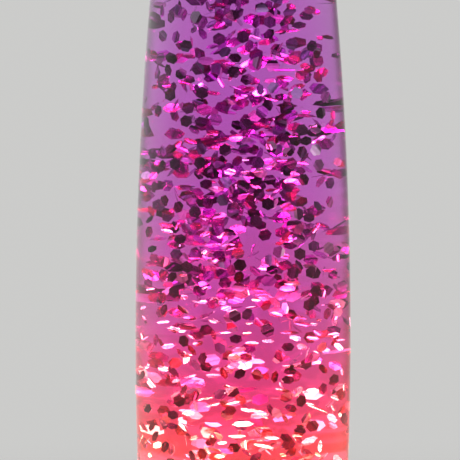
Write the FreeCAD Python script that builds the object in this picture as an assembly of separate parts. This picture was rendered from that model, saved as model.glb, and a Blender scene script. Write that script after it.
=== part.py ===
"""Glitter lamp: a torpedo-shaped glass bottle of tinted liquid and hexagonal glitter,
seated in an hourglass metal base with a small bulb under it, and capped with metal.

Millimetres. Z is up, the origin is the middle of the footprint on the table,
the front is -Y, the cord inlet is at the back (+Y) and the switch on the right (+X).
"""
import FreeCAD
import Part
import math
import os

# Bottle
bottle_radius = 32.0          # widest outside radius
widest_rise = 75.5            # from the stand ring up to the widest level
wall_arc_radius = 1171.0      # the long outward curve of the wall
glass_wall = 2.5
heel_drop = 34.0              # from the widest level down to where the wall turns in
heel_arc_radius = 60.0
foot_angle = 9.5              # slope of the hidden foot, degrees from upright
foot_corner = 6.0
foot_inner_corner = 3.5
floor_thickness = 4.0
punt_height = 4.0             # how far the floor is pushed up in the middle
stand_ring_width = 2.5
shoulder_rise = 162.0         # from the widest level up to the shoulder
shoulder_corner = 9.0
shoulder_angle = 62.0
neck_radius = 12.2
neck_bore = 8.0
neck_length = 7.0
lip_overhang = 1.1
lip_height = 5.0
lip_rounding = 1.0
liquid_below_shoulder = 5.0

# Glitter
flake_across_flats = 3.175    # eighth-of-an-inch hexagons
flake_thickness = 0.15
flake_count = 320
flake_gap = 0.5               # least gap between two flakes, and to the glass
# Fractions whose multiples scatter the flakes evenly: height, distance out, azimuth, tilt, twist
scatter_steps = (0.8191725, 0.6710436, 0.5497005, 0.7548777, 0.6180340)

# Crown closure
crown_overhang = 2.7
crown_sheet = 0.45
crown_skirt = 6.0
crown_grip_gap = 0.15
crown_flutes = 21
crown_flute_radius = 1.2
crown_flute_bite = 0.72       # depth of a flute at the skirt's edge
crown_corner = 1.0
crown_liner_thickness = 0.6

# Cap
cap_edge_rise = 150.0         # from the bottle's widest level up to the cap's edge
cap_height = 55.0
cap_angle = 7.4               # slope of the cap's side, degrees from upright
cap_wall = 0.8
cap_glass_gap = 0.5
cap_corner = 3.0
cap_dome = 1.5
cap_bead = 0.7
cap_web = 3.0                 # thickness of the plate that centres the cap
cap_tube_radius = 9.0
cap_tube_wall = 2.0
cap_liner_fit = 0.05
cap_web_holes = 6
cap_web_hole_radius = 1.7

# Base shells
base_radius = 50.0
hem_height = 1.2
hem_bead = 0.9
waist_radius = 24.0
waist_height = 62.0
waist_lap = 7.0               # how far the cup slides down over the lower shell
shell_wall = 1.0
lap_fit = 0.05
rim_drop = 38.5               # from the bottle's widest level down to the rim
cup_glass_gap = 0.6
rim_bead = 0.9
waist_rivets = 3
waist_rivet_radius = 1.2
waist_rivet_head = 2.2
waist_rivet_head_height = 0.8
waist_rivet_drop = 3.5        # below the top of the lap

# Bottle seat
seat_sheet = 1.2
seat_opening = 17.5
seat_skirt = 7.0
gasket_thickness = 2.1
gasket_width = 6.5

# Bottom plate, lugs and feet
plate_height = 2.5            # underside of the plate over the table
plate_thickness = 1.5
plate_gap = 0.5
vent_inner = 22.0
vent_outer = 31.0
vent_width = 3.0
vent_azimuths = [90 + 30 * k for k in range(10)]
foot_inset = 8.36             # from the plate's edge in to the middle of a foot
foot_radius = 5.0
foot_azimuths = (45, 135, 225, 315)
foot_bevel = 0.5
lug_azimuths = (0, 120, 240)
lug_inset = 5.86              # from the shell's inside in to the middle of a screw
lug_width = 9.0
lug_length = 8.0
lug_sheet = 2.0
lug_height = 9.0
screw_radius = 1.5
screw_head_radius = 2.8
screw_head_height = 1.8
screw_length = 5.0
screw_gap = 0.2
screw_slot = 0.8

# Bridge and lamp holder
bridge_width = 26.0
bridge_sheet = 1.5
bridge_half_span = 13.0
bridge_foot = 7.0
bridge_rise = 10.0            # top of the bridge over the plate
rivet_radius = 1.5
rivet_head_radius = 2.6
rivet_head_height = 0.9
rivet_spread = 8.0
holder_radius = 13.0
holder_height = 32.0
holder_recess_radius = 7.0
holder_recess_height = 4.5
holder_floor = 2.5
holder_cavity = 8.3
holder_mouth = 9.7
holder_mouth_depth = 5.0
holder_screw_circle = 10.2
holder_screw_length = 6.0
holder_rounding = 1.2
sleeve_length = 9.5
sleeve_rise = 1.5             # from the bulb's tip up to the sleeve
sleeve_foot = 5.3
contact_sheet = 0.5
contact_width = 4.0
contact_rise = 1.5
contact_pad = 1.8             # half length of its flat under the tip
contact_seat = 2.0            # length of its foot around the terminal's middle
contact_end_gap = 1.5         # from its end to the holder's wall
terminal_offset = 4.0
terminal_size = 4.0
terminal_height = 2.0
terminal_post = 0.8

# Screw-base bulb; heights are over its tip
bulb_length = 55.0
bulb_radius = 13.0
bulb_glass_wall = 0.8
bulb_neck_radius = 6.9
bulb_neck_start = 19.0
bulb_neck_end = 24.0
bulb_headroom = 0.5           # over the bulb when it is screwed out
thread_pitch = 2.822
thread_path_radius = 6.15
thread_ridge = 0.75
thread_gap = 0.2
thread_turns = 3.5
thread_start = 4.2
released_turns = 2.5
core_radius = 6.2
core_wall = 0.7
skirt_start = 15.5
skirt_end = 22.0
skirt_rise = 2.5
skirt_flare = 1.6
tip_radius = 2.5
tip_flat = 1.3
tip_height = 1.4
tip_slope_height = 0.84
insulator_height = 3.4
insulator_lip = 0.8
stem_flange = 1.2
stem_radius = 2.0
stem_top = 29.0
stem_taper = 4.0
support_radius = 0.3
support_spread = 5.0
support_foot_spread = 1.0
filament_radius = 0.35
filament_height = 39.0
filament_zigzag = 2.5

# Cord inlet, at the back
inlet_distance = 12.0         # up the slope of the base from its hem
inlet_bore = 3.4
inlet_wall = 1.2
inlet_flange_width = 1.8
inlet_flange = 2.0
inlet_depth = 6.0
inlet_fit = 0.05
inlet_rounding = 0.8
inlet_inner_step = 0.8        # the inner flange is narrower by this
inlet_sag = 0.5               # more than the shell curves away under the flange
inlet_sink = 0.1
shell_cut_reach = 10.0        # how far a cut through the shell reaches each way

# Wiring
lead_radius = 1.0
block_x = 21.5
block_y = 24.0
block_length = 15.0
block_depth = 10.0
block_height = 10.0
block_pole_spread = 4.0
block_bore = 2.2
block_sleeve_bore = 0.8
block_lead_depth = 1.5
block_screw_spread = 2.2
block_screw_radius = 1.1
block_screw_length = 3.4
block_corner = 1.0
block_slot = 0.5
block_slot_depth = 0.6

# Rocker switch, on the right
switch_distance = 28.0        # up the slope of the base from its hem
switch_length = 13.6
switch_width = 8.8
switch_depth = 11.0
switch_flange = 1.2
switch_flange_height = 1.6
switch_hole_gap = 0.15
switch_wall = 1.1
switch_corner = 1.0
switch_sag = 0.6              # more than the shell curves away under the flange
well_depth = 4.6
rocker_swing = 20.0           # degrees between on and off
rocker_gap = 0.3
rocker_end_height = 3.0
rocker_middle_height = 1.7
rocker_keel = 1.8
rocker_pivot_depth = 0.4
rocker_pin_radius = 0.9
rocker_pin_length = 0.7
rocker_pin_gap = 0.08
blade_width = 4.8
blade_thickness = 0.8
blade_length = 4.0
blade_spread = 3.5

past = 1.0                    # how far a cutter runs past what it cuts

Vector = FreeCAD.Vector
ORIGIN = Vector(0, 0, 0)
UP = Vector(0, 0, 1)


def sin(degrees):
    return math.sin(math.radians(degrees))


def cos(degrees):
    return math.cos(math.radians(degrees))


def tan(degrees):
    return math.tan(math.radians(degrees))


# Outlines are lists of (radius, height) points

def along(centre, distance, angle):
    """The point at a distance from a centre, at an angle over the outward direction."""
    return (centre[0] + distance * cos(angle), centre[1] + distance * sin(angle))


def arc(centre, radius, start, end):
    """An outline's round step: a point that it passes through and the one where it ends."""
    return (along(centre, radius, (start + end) / 2), along(centre, radius, end))


def turned(start, *steps):
    """Solid of revolution about Z inside a closed outline of straight and round steps."""
    edges = []
    last = Vector(start[0], 0, start[1])
    for step in list(steps) + [start]:
        if isinstance(step[0], tuple):
            through = Vector(step[0][0], 0, step[0][1])
            end = Vector(step[1][0], 0, step[1][1])
            edges.append(Part.Arc(last, through, end).toShape())
        else:
            end = Vector(step[0], 0, step[1])
            edges.append(Part.LineSegment(last, end).toShape())
        last = end
    return Part.Face(Part.Wire(edges)).revolve(ORIGIN, UP, 360)


def dome(level, edge, rise, outward=False):
    """Round step of a shallow dome centred over the axis, whose edge lies at a level.
    It runs from the edge to the middle, or outward from the middle to the edge."""
    radius = (edge ** 2 + rise ** 2) / (2 * rise)
    centre = (0.0, level + rise - radius)
    edge_angle = math.degrees(math.acos(edge / radius))
    return arc(centre, radius, 90, edge_angle) if outward else arc(centre, radius, edge_angle, 90)


def dome_level(level, edge, rise, radius):
    """Level of that dome at a radius."""
    ball = (edge ** 2 + rise ** 2) / (2 * rise)
    return level + rise - ball + math.sqrt(ball ** 2 - radius ** 2)


def bead_step(radius, level, bead):
    """Half-round bead that stands out of a side, in an outline that goes up."""
    return arc((radius, level), bead, -90, 90)


def cylinder(radius, low, high, x=0.0, y=0.0):
    return Part.makeCylinder(radius, high - low, Vector(x, y, low))


def ring(inner, outer, low, high):
    return cylinder(outer, low, high).cut(cylinder(inner, low, high))


def block(x_size, y_size, low, high, x=0.0, y=0.0, corner=0.0):
    """Box centred on x and y, with its upright edges rounded."""
    box = Part.makeBox(x_size, y_size, high - low, Vector(x - x_size / 2, y - y_size / 2, low))
    if corner > 0:
        upright = [edge for edge in box.Edges if abs(edge.tangentAt(0).z) > 0.9]
        box = box.makeFillet(corner, upright)
    return box


def plate_from(outline, thickness, axis):
    """Flat outline of points, made into a plate of a thickness centred on its own plane."""
    shift = axis * (thickness / 2)
    corners = [corner - shift for corner in outline]
    return Part.Face(Part.makePolygon(corners + corners[:1])).extrude(axis * thickness)


def spun(shape, azimuth):
    """Copy of a shape, turned about Z."""
    copy = shape.copy()
    copy.rotate(ORIGIN, UP, azimuth)
    return copy


def group(shapes):
    return Part.makeCompound(shapes)


def rod(start, end, radius):
    return Part.makeCylinder(radius, (end - start).Length, start, end - start)


def bent_rod(points, radius):
    """Wire of straight runs with a ball at each bend."""
    runs = [rod(p, q, radius) for p, q in zip(points, points[1:])]
    balls = [Part.makeSphere(radius, p) for p in points[1:-1]]
    return runs[0].multiFuse(runs[1:] + balls)


def arc_from(start, tangent, end):
    """Arc that leaves start along a tangent and ends at end."""
    chord = end - start
    inward = tangent.cross(chord).cross(tangent)
    inward.normalize()
    radius = chord.Length ** 2 / (2 * chord.dot(inward))
    centre = start + inward * radius
    outward = (start + end) * 0.5 - centre
    outward.normalize()
    return Part.Arc(start, centre + outward * radius, end)


def helix_tube(radius, pitch, turns, low, tube_radius):
    """Round tube wound upwards, its path made of two matching arcs in each quarter turn."""
    def place(angle):
        return Vector(radius * cos(angle), radius * sin(angle), low + pitch * angle / 360)

    def aim(angle):
        tangent = Vector(-sin(angle), cos(angle), pitch / (2 * math.pi * radius))
        tangent.normalize()
        return tangent

    edges = []
    for quarter in range(round(4 * turns)):
        start, end = place(90 * quarter), place(90 * (quarter + 1))
        leave, arrive = aim(90 * quarter), aim(90 * (quarter + 1))
        chord = end - start
        pull = chord.dot(leave + arrive)
        spread = 2 * (1 - leave.dot(arrive))
        arm = (math.sqrt(pull ** 2 + spread * chord.dot(chord)) - pull) / spread
        joint = (start + leave * arm + end - arrive * arm) * 0.5
        edges.append(arc_from(start, leave, joint).toShape())
        second = arc_from(end, arrive * -1, joint)
        middle = second.value((second.FirstParameter + second.LastParameter) / 2)
        edges.append(Part.Arc(joint, middle, end).toShape())
    section = Part.Wire(Part.Circle(place(0), aim(0), tube_radius).toShape())
    return Part.Wire(edges).makePipeShell([section], True, False)


def lead_tube(name, points, radius):
    """Insulated wire through straight runs that are joined by arcs as large as they allow."""
    edges = []
    bends = []
    last = points[0]
    for before, corner, after in zip(points, points[1:], points[2:]):
        arrive, leave = corner - before, after - corner
        reach = 0.45 * min(arrive.Length, leave.Length)
        half_turn = arrive.getAngle(leave) / 2
        bend = reach / math.tan(half_turn)
        bends.append(bend)
        arrive.normalize()
        leave.normalize()
        start, end = corner - arrive * reach, corner + leave * reach
        inward = leave - arrive
        inward.normalize()
        middle = corner + inward * (bend / math.cos(half_turn) - bend)
        edges.append(Part.LineSegment(last, start).toShape())
        edges.append(Part.Arc(start, middle, end).toShape())
        last = end
    edges.append(Part.LineSegment(last, points[-1]).toShape())
    path = Part.Wire(edges)
    section = Part.Wire(Part.Circle(points[0], points[1] - points[0], radius).toShape())
    tube = path.makePipeShell([section], True, False)
    share = tube.Volume / (math.pi * radius ** 2 * path.Length)
    print(name, "length", round(path.Length, 1), "volume share", round(share, 4),
          "bend radii", [round(bend, 1) for bend in bends])
    return tube


# Levels, from the table up

plate_top = plate_height + plate_thickness
bridge_top = plate_top + bridge_rise
holder_top = bridge_top + holder_height
recess_top = bridge_top + holder_recess_height
holder_floor_top = recess_top + holder_floor
tip_level = holder_floor_top + contact_rise + contact_sheet
bulb_top = tip_level + bulb_length
bulb_travel = released_turns * thread_pitch
stand_level = bulb_top + bulb_travel + bulb_headroom
widest_level = stand_level + widest_rise
rim_level = widest_level - rim_drop
cap_edge_level = widest_level + cap_edge_rise
lap_top = waist_height + waist_lap

# The bottle's side, bottom to top: corner, straight foot, heel arc, wall arc, shoulder

wall_centre = (bottle_radius - wall_arc_radius, widest_level)
heel_start = math.degrees(math.asin(heel_drop / wall_arc_radius))
shoulder_start = math.degrees(math.asin(shoulder_rise / wall_arc_radius))
heel_centre = along(wall_centre, wall_arc_radius - heel_arc_radius, -heel_start)
shoulder_centre = along(wall_centre, wall_arc_radius - shoulder_corner, shoulder_start)
foot_point = along(heel_centre, heel_arc_radius, -foot_angle)


def wall_radius(level, inset=0.0):
    """Radius of the long curve of the bottle's wall, moved in by an inset."""
    return wall_centre[0] + math.sqrt((wall_arc_radius - inset) ** 2 - (level - widest_level) ** 2)


def foot_line_radius(level, inset=0.0):
    """Radius of the straight foot's slope, moved in by an inset."""
    return foot_point[0] - inset / cos(foot_angle) + (level - foot_point[1]) * tan(foot_angle)


def corner_centre(inset, floor, corner):
    """Centre of the arc that rounds the foot's slope into a floor."""
    level = floor + corner
    return (foot_line_radius(level, inset + corner), level)


def side_steps(inset, floor, corner):
    """Steps up the bottle's side, from its floor corner to the top of its shoulder."""
    return [
        arc(corner_centre(inset, floor, corner), corner, -90, -foot_angle),
        along(heel_centre, heel_arc_radius - inset, -foot_angle),
        arc(heel_centre, heel_arc_radius - inset, -foot_angle, -heel_start),
        arc(wall_centre, wall_arc_radius - inset, -heel_start, shoulder_start),
        arc(shoulder_centre, shoulder_corner - inset, shoulder_start, shoulder_angle),
    ]


def neck_start(inset, radius):
    """Level where the shoulder's slope reaches the neck."""
    edge = along(shoulder_centre, shoulder_corner - inset, shoulder_angle)
    return edge[1] + (edge[0] - radius) / tan(shoulder_angle)


finish_top = neck_start(0.0, neck_radius) + neck_length + lip_height
lip_radius = neck_radius + lip_overhang
crown_seat = finish_top + crown_liner_thickness
crown_top = crown_seat + crown_sheet
liquid_level = widest_level + shoulder_rise - liquid_below_shoulder
stand_outer = corner_centre(0.0, stand_level, foot_corner)[0]
stand_inner = stand_outer - stand_ring_width
inner_floor = stand_level + floor_thickness


def make_bottle_glass():
    outside = turned(
        (0.0, stand_level + punt_height),
        dome(stand_level, stand_inner, punt_height, outward=True),
        (stand_outer, stand_level),
        *side_steps(0.0, stand_level, foot_corner),
        (neck_radius, neck_start(0.0, neck_radius)),
        (neck_radius, finish_top - lip_height),
        (lip_radius, finish_top - lip_height + lip_overhang),
        (lip_radius, finish_top - lip_rounding),
        arc((lip_radius - lip_rounding, finish_top - lip_rounding), lip_rounding, 0, 90),
        (0.0, finish_top),
    )
    return outside.cut(make_cavity())


def make_cavity():
    """The space inside the bottle, through its neck and out of its mouth."""
    return turned(
        (0.0, inner_floor + punt_height),
        dome(inner_floor, stand_inner, punt_height, outward=True),
        (corner_centre(glass_wall, inner_floor, foot_inner_corner)[0], inner_floor),
        *side_steps(glass_wall, inner_floor, foot_inner_corner),
        (neck_bore, neck_start(glass_wall, neck_bore)),
        (neck_bore, finish_top),
        (0.0, finish_top),
    )


def make_liquid():
    return make_cavity().cut(cylinder(bottle_radius, liquid_level, finish_top + past))


def make_glitter():
    """Hexagonal flakes at evenly scattered places and tilts, none touching another."""
    radius = flake_across_flats / 2 / cos(30)
    corners = [Vector(radius * cos(60 * k), radius * sin(60 * k), 0) for k in range(6)]
    flake = plate_from(corners, flake_thickness, UP)
    reach = radius + flake_gap
    low = inner_floor + punt_height + reach
    high = liquid_level - reach
    centres = []
    flakes = []
    step = 0
    while len(flakes) < flake_count and step < 20 * flake_count:
        step += 1
        high_share, out_share, round_share, tilt_share, twist_share = [
            step * fraction % 1 for fraction in scatter_steps]
        level = low + (high - low) * high_share
        inside = min(wall_radius(level, glass_wall), foot_line_radius(level, glass_wall)) - reach
        distance = inside * math.sqrt(out_share)
        azimuth = 360 * round_share
        centre = Vector(distance * cos(azimuth), distance * sin(azimuth), level)
        if any((centre - other).Length < 2 * radius + flake_gap for other in centres):
            continue
        centres.append(centre)
        tilt = math.degrees(math.acos(1 - 2 * tilt_share))
        turn = FreeCAD.Rotation(UP, 360 * twist_share) * FreeCAD.Rotation(Vector(1, 0, 0), tilt)
        copy = flake.copy()
        copy.Placement = FreeCAD.Placement(centre, turn)
        flakes.append(copy)
    return group(flakes)


def make_crown_cap():
    low = crown_top - crown_skirt
    grip = lip_radius + crown_grip_gap
    flare = lip_radius + crown_overhang
    corner = crown_corner + crown_sheet
    crown = turned(
        (0.0, crown_top),
        (grip + crown_sheet - corner, crown_top),
        arc((grip + crown_sheet - corner, crown_top - corner), corner, 90, 0),
        (flare, low),
        (grip, low),
        (grip, crown_seat),
        (0.0, crown_seat),
    )
    foot = Vector(flare + crown_flute_radius - crown_flute_bite, 0, low - past)
    head = Vector(grip + crown_sheet + crown_flute_radius, 0, crown_top - crown_corner)
    flute = rod(foot, head, crown_flute_radius)
    return crown.cut([spun(flute, 360 * k / crown_flutes) for k in range(crown_flutes)])


def make_crown_liner():
    return cylinder(lip_radius, finish_top, crown_seat)


# Cap

cap_inner_edge = wall_radius(cap_edge_level) + cap_glass_gap
cap_outer_edge = cap_inner_edge + cap_wall / cos(cap_angle)
cap_top = cap_edge_level + cap_height


def cap_side_radius(level, inset=0.0):
    return cap_outer_edge - inset / cos(cap_angle) - (level - cap_edge_level) * tan(cap_angle)


cap_corner_level = cap_top - cap_corner
cap_corner_centre = (cap_side_radius(cap_corner_level, cap_corner), cap_corner_level)


def make_cap_shell():
    inner_corner = cap_corner - cap_wall
    edge = cap_corner_centre[0]
    return turned(
        (cap_side_radius(cap_edge_level, cap_wall), cap_edge_level),
        (cap_outer_edge, cap_edge_level),
        bead_step(cap_outer_edge, cap_edge_level + cap_bead, cap_bead),
        (cap_side_radius(cap_edge_level + 2 * cap_bead), cap_edge_level + 2 * cap_bead),
        along(cap_corner_centre, cap_corner, cap_angle),
        arc(cap_corner_centre, cap_corner, cap_angle, 90),
        dome(cap_top, edge, cap_dome),
        (0.0, cap_top + cap_dome - cap_wall),
        dome(cap_top - cap_wall, edge, cap_dome, outward=True),
        arc(cap_corner_centre, inner_corner, 90, cap_angle),
    )


def make_cap_liner():
    """Plate that rests on the crown and fits the cap's cone, with a tube up to the dome."""
    inset = cap_wall + cap_liner_fit
    web_top = crown_top + cap_web
    web = turned(
        (0.0, crown_top),
        (cap_side_radius(crown_top, inset), crown_top),
        (cap_side_radius(web_top, inset), web_top),
        (0.0, web_top),
    )
    tube_top = dome_level(cap_top - cap_wall, cap_corner_centre[0], cap_dome, cap_tube_radius)
    tube = ring(cap_tube_radius - cap_tube_wall, cap_tube_radius, crown_top, tube_top)
    hole_circle = (cap_tube_radius + cap_side_radius(crown_top, inset)) / 2
    hole = cylinder(cap_web_hole_radius, crown_top, web_top, hole_circle)
    holes = [spun(hole, 360 * k / cap_web_holes) for k in range(cap_web_holes)]
    return web.cut(holes).fuse(tube)


# Base shells

cone_radius = base_radius - hem_bead
slope = math.degrees(math.atan((cone_radius - waist_radius) / (waist_height - hem_height)))
lap_radius = waist_radius - shell_wall


def base_side_radius(level, inset=0.0):
    """Radius of the lower shell's cone, moved in by an inset."""
    return cone_radius - inset / cos(slope) - (level - hem_height) * tan(slope)


def cup_side_radius(level, inset=0.0):
    """Inside radius of the cup's cone, which follows the bottle's foot; outside if inset < 0."""
    return foot_line_radius(level, inset - cup_glass_gap)


def cup_cone_start(inset):
    """Level where the cup's cone meets its straight neck."""
    neck = lap_radius + lap_fit - inset
    return stand_level - (cup_side_radius(stand_level, inset) - neck) / tan(foot_angle)


def on_slope(distance, azimuth):
    """Place on the lower shell: x sideways, y up the slope and z straight out of it."""
    outward = Vector(cos(azimuth), sin(azimuth), 0)
    sideways = UP.cross(outward)
    normal = outward * cos(slope) + UP * sin(slope)
    uphill = UP * cos(slope) - outward * sin(slope)
    start = outward * cone_radius + UP * hem_height
    turn = FreeCAD.Rotation(sideways, uphill, normal, "ZXY")
    return FreeCAD.Placement(start + uphill * distance, turn)


plate_edge = base_side_radius(plate_top, shell_wall) - plate_gap
foot_circle = plate_edge - foot_inset
lug_circle = base_side_radius(plate_top, shell_wall) - lug_inset
inlet_place = on_slope(inlet_distance, 90)
switch_place = on_slope(switch_distance, 0)
inlet_hole = inlet_bore + inlet_wall


def placed(shape, placement):
    copy = shape.copy()
    copy.Placement = placement.multiply(copy.Placement)
    return copy


def waist_rivet_holes():
    level = lap_top - waist_rivet_drop
    start = Vector(lap_radius - 2 * shell_wall, 0, level)
    hole = rod(start, start + Vector(5 * shell_wall, 0, 0), waist_rivet_radius)
    return [spun(hole, 90 + 360 * k / waist_rivets) for k in range(waist_rivets)]


def cone_shell():
    """The lower shell before its holes are cut."""
    inner_neck = lap_radius - shell_wall
    shoulder = waist_height - shell_wall
    return turned(
        (base_side_radius(hem_height, shell_wall), hem_height),
        (cone_radius, hem_height),
        bead_step(cone_radius, hem_height + hem_bead, hem_bead),
        (base_side_radius(hem_height + 2 * hem_bead), hem_height + 2 * hem_bead),
        (waist_radius, waist_height),
        (lap_radius, waist_height),
        (lap_radius, lap_top),
        (inner_neck, lap_top),
        (inner_neck, shoulder),
        (base_side_radius(shoulder, shell_wall), shoulder),
    )


def make_base_cone():
    inlet = placed(cylinder(inlet_hole, -shell_cut_reach, shell_cut_reach), inlet_place)
    hole_length = switch_length + 2 * switch_hole_gap
    hole_width = switch_width + 2 * switch_hole_gap
    switch_hole = placed(block(hole_width, hole_length, -shell_cut_reach, shell_cut_reach), switch_place)
    return cone_shell().cut([inlet, switch_hole] + waist_rivet_holes())


def cup_shell():
    """The upper shell before its holes are cut."""
    low = waist_height
    neck = lap_radius + lap_fit
    bead_level = rim_level - rim_bead
    bead_low = bead_level - rim_bead
    edge = cup_side_radius(bead_low, -shell_wall)
    return turned(
        (neck, low),
        (neck + shell_wall, low),
        (neck + shell_wall, cup_cone_start(-shell_wall)),
        (edge, bead_low),
        bead_step(edge, bead_level, rim_bead),
        (cup_side_radius(rim_level), rim_level),
        (neck, cup_cone_start(0.0)),
    )


def make_bottle_cup():
    return cup_shell().cut(waist_rivet_holes())


def make_waist_rivets():
    """Domed rivets through both shells, their heads trimmed to the shells' curve."""
    outer_face = lap_radius + lap_fit + shell_wall
    inner_face = lap_radius - shell_wall
    head = turned(
        (0.0, outer_face - shell_wall / 2),
        (waist_rivet_head, outer_face - shell_wall / 2),
        (waist_rivet_head, outer_face),
        dome(outer_face, waist_rivet_head, waist_rivet_head_height),
    )
    tail = cylinder(waist_rivet_head, inner_face - waist_rivet_head_height, inner_face)
    shank = cylinder(waist_rivet_radius, inner_face - waist_rivet_head_height / 2,
                     outer_face + waist_rivet_head_height / 4)
    turn = FreeCAD.Placement(UP * (lap_top - waist_rivet_drop),
                             FreeCAD.Rotation(Vector(0, 1, 0), 90))
    lap = ring(inner_face, outer_face, waist_height, lap_top + shell_wall)
    heads = placed(head.fuse(tail), turn).cut([lap, cup_shell(), cone_shell()])
    rivet = heads.fuse(placed(shank, turn))
    return group([spun(rivet, 90 + 360 * k / waist_rivets) for k in range(waist_rivets)])


# Bottle seat

seat_top = stand_level - gasket_thickness
seat_low = seat_top - seat_sheet


def make_seat_ring():
    """Flat ring for the gasket, with a skirt that hugs the cup's cone."""
    skirt_low = seat_top - seat_skirt
    return turned(
        (seat_opening, seat_top),
        (cup_side_radius(seat_top), seat_top),
        (cup_side_radius(skirt_low), skirt_low),
        (cup_side_radius(skirt_low, seat_sheet), skirt_low),
        (cup_side_radius(seat_low, seat_sheet), seat_low),
        (seat_opening, seat_low),
    )


def make_seat_gasket():
    return ring(seat_opening, seat_opening + gasket_width, seat_top, stand_level)


# Bottom plate

def make_bottom_plate():
    plate = cylinder(plate_edge, plate_height, plate_top)
    vent = block(vent_outer - vent_inner, vent_width, plate_height, plate_top,
                 (vent_inner + vent_outer) / 2)
    cuts = [spun(vent, azimuth) for azimuth in vent_azimuths]
    hole = cylinder(screw_radius + screw_gap, plate_height, plate_top, lug_circle)
    cuts += [spun(hole, azimuth) for azimuth in lug_azimuths]
    cuts += bridge_rivet_shanks(plate_height, plate_top)
    cuts.append(cylinder(screw_radius, plate_height, plate_top, block_x, block_y))
    return plate.cut(cuts)


def make_plate_lugs():
    """Angle pieces on the inside of the cone, which the bottom plate is screwed to."""
    wall_level = plate_top + lug_height
    inside = turned(
        (0.0, plate_top),
        (base_side_radius(plate_top, shell_wall), plate_top),
        (base_side_radius(wall_level, shell_wall), wall_level),
        (0.0, wall_level),
    )
    start = lug_circle - lug_length / 2
    tread = block(2 * lug_length, lug_width, plate_top, plate_top + lug_sheet, start + lug_length)
    wall_start = base_side_radius(wall_level, shell_wall + lug_sheet)
    riser = turned(
        (base_side_radius(plate_top, shell_wall + lug_sheet), plate_top),
        (base_radius, plate_top),
        (base_radius, wall_level),
        (wall_start, wall_level),
    ).common(block(base_radius, lug_width, plate_top, wall_level, base_radius * 0.75))
    hole = cylinder(screw_radius, plate_top, plate_top + lug_sheet, lug_circle)
    lug = tread.fuse(riser).common(inside).cut(hole)
    return group([spun(lug, azimuth) for azimuth in lug_azimuths])


def pan_screw(head_level, length, x=0.0, y=0.0, way=1):
    """Screw with a rounded head under head_level and its shank above it, or over if way is -1."""
    rounding = screw_head_height * 0.6
    screw = turned(
        (0.0, length),
        (screw_radius, length),
        (screw_radius, 0.0),
        (screw_head_radius, 0.0),
        (screw_head_radius, rounding - screw_head_height),
        arc((screw_head_radius - rounding, rounding - screw_head_height), rounding, 0, -90),
        (0.0, -screw_head_height),
    )
    slot = block(3 * screw_head_radius, screw_slot, -screw_head_height, -0.5 * screw_head_height)
    screw = screw.cut(slot)
    if way < 0:
        screw.rotate(ORIGIN, Vector(1, 0, 0), 180)
    screw.translate(Vector(x, y, head_level))
    return screw


def make_plate_screws():
    screw = pan_screw(plate_height, screw_length, lug_circle)
    return group([spun(screw, azimuth) for azimuth in lug_azimuths])


def make_rubber_feet():
    foot = turned(
        (0.0, 0.0),
        (foot_radius - foot_bevel, 0.0),
        (foot_radius, foot_bevel),
        (foot_radius, plate_height),
        (0.0, plate_height),
    )
    foot.translate(Vector(foot_circle, 0, 0))
    return group([spun(foot, azimuth) for azimuth in foot_azimuths])


# Bridge and lamp holder

def bridge_rivet_places():
    reach = bridge_half_span + bridge_foot / 2
    return [(x, y) for x in (-rivet_spread, rivet_spread) for y in (-reach, reach)]


def bridge_rivet_shanks(low, high):
    return [cylinder(rivet_radius, low, high, x, y) for x, y in bridge_rivet_places()]


def make_holder_bridge():
    """Steel strip bent over the plate, with a foot on each side."""
    span, sheet = bridge_half_span, bridge_sheet
    half = [(span + bridge_foot, plate_top), (span + bridge_foot, plate_top + sheet),
            (span, plate_top + sheet), (span, bridge_top)]
    inner = [(span - sheet, bridge_top - sheet), (span - sheet, plate_top)]
    right = half + [(-y, z) for y, z in reversed(half)]
    left = [(-y, z) for y, z in reversed(inner)] + inner
    outline = [Vector(0, y, z) for y, z in right + left]
    strip = plate_from(outline, bridge_width, Vector(1, 0, 0))
    cuts = bridge_rivet_shanks(plate_top, plate_top + sheet)
    cuts.append(cylinder(holder_recess_radius, bridge_top - sheet, bridge_top))
    for x in (-holder_screw_circle, holder_screw_circle):
        cuts.append(cylinder(screw_radius + screw_gap, bridge_top - sheet, bridge_top, x))
    return strip.cut(cuts)


def make_bridge_rivets():
    low, high = plate_height, plate_top + bridge_sheet
    rivets = []
    for x, y in bridge_rivet_places():
        shank = cylinder(rivet_radius, low, high, x, y)
        under = cylinder(rivet_head_radius, low - rivet_head_height, low, x, y)
        over = cylinder(rivet_head_radius, high, high + rivet_head_height, x, y)
        rivets.append(shank.multiFuse([under, over]))
    return group(rivets)


def make_lamp_holder():
    """Moulded cup: a wiring recess below its floor, and the bulb's well above."""
    body = cylinder(holder_radius, bridge_top, holder_top)
    upper = [edge for edge in body.Edges if edge.BoundBox.ZMin > holder_top - holder_rounding]
    body = body.makeFillet(holder_rounding, upper)
    post_holes = []
    for y in (-terminal_offset, terminal_offset):
        post_holes.append(cylinder(terminal_post, recess_top, holder_floor_top, 0, y))
    screw_end = bridge_top + holder_screw_length - bridge_sheet
    screw_holes = []
    for x in (-holder_screw_circle, holder_screw_circle):
        screw_holes.append(cylinder(screw_radius, bridge_top, screw_end, x))
    return body.cut([
        cylinder(holder_recess_radius, bridge_top, recess_top),
        cylinder(holder_cavity, holder_floor_top, holder_top),
        cylinder(holder_mouth, holder_top - holder_mouth_depth, holder_top),
    ] + post_holes + screw_holes)


def make_holder_screws():
    under = bridge_top - bridge_sheet
    places = (-holder_screw_circle, holder_screw_circle)
    return group([pan_screw(under, holder_screw_length, x) for x in places])


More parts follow.
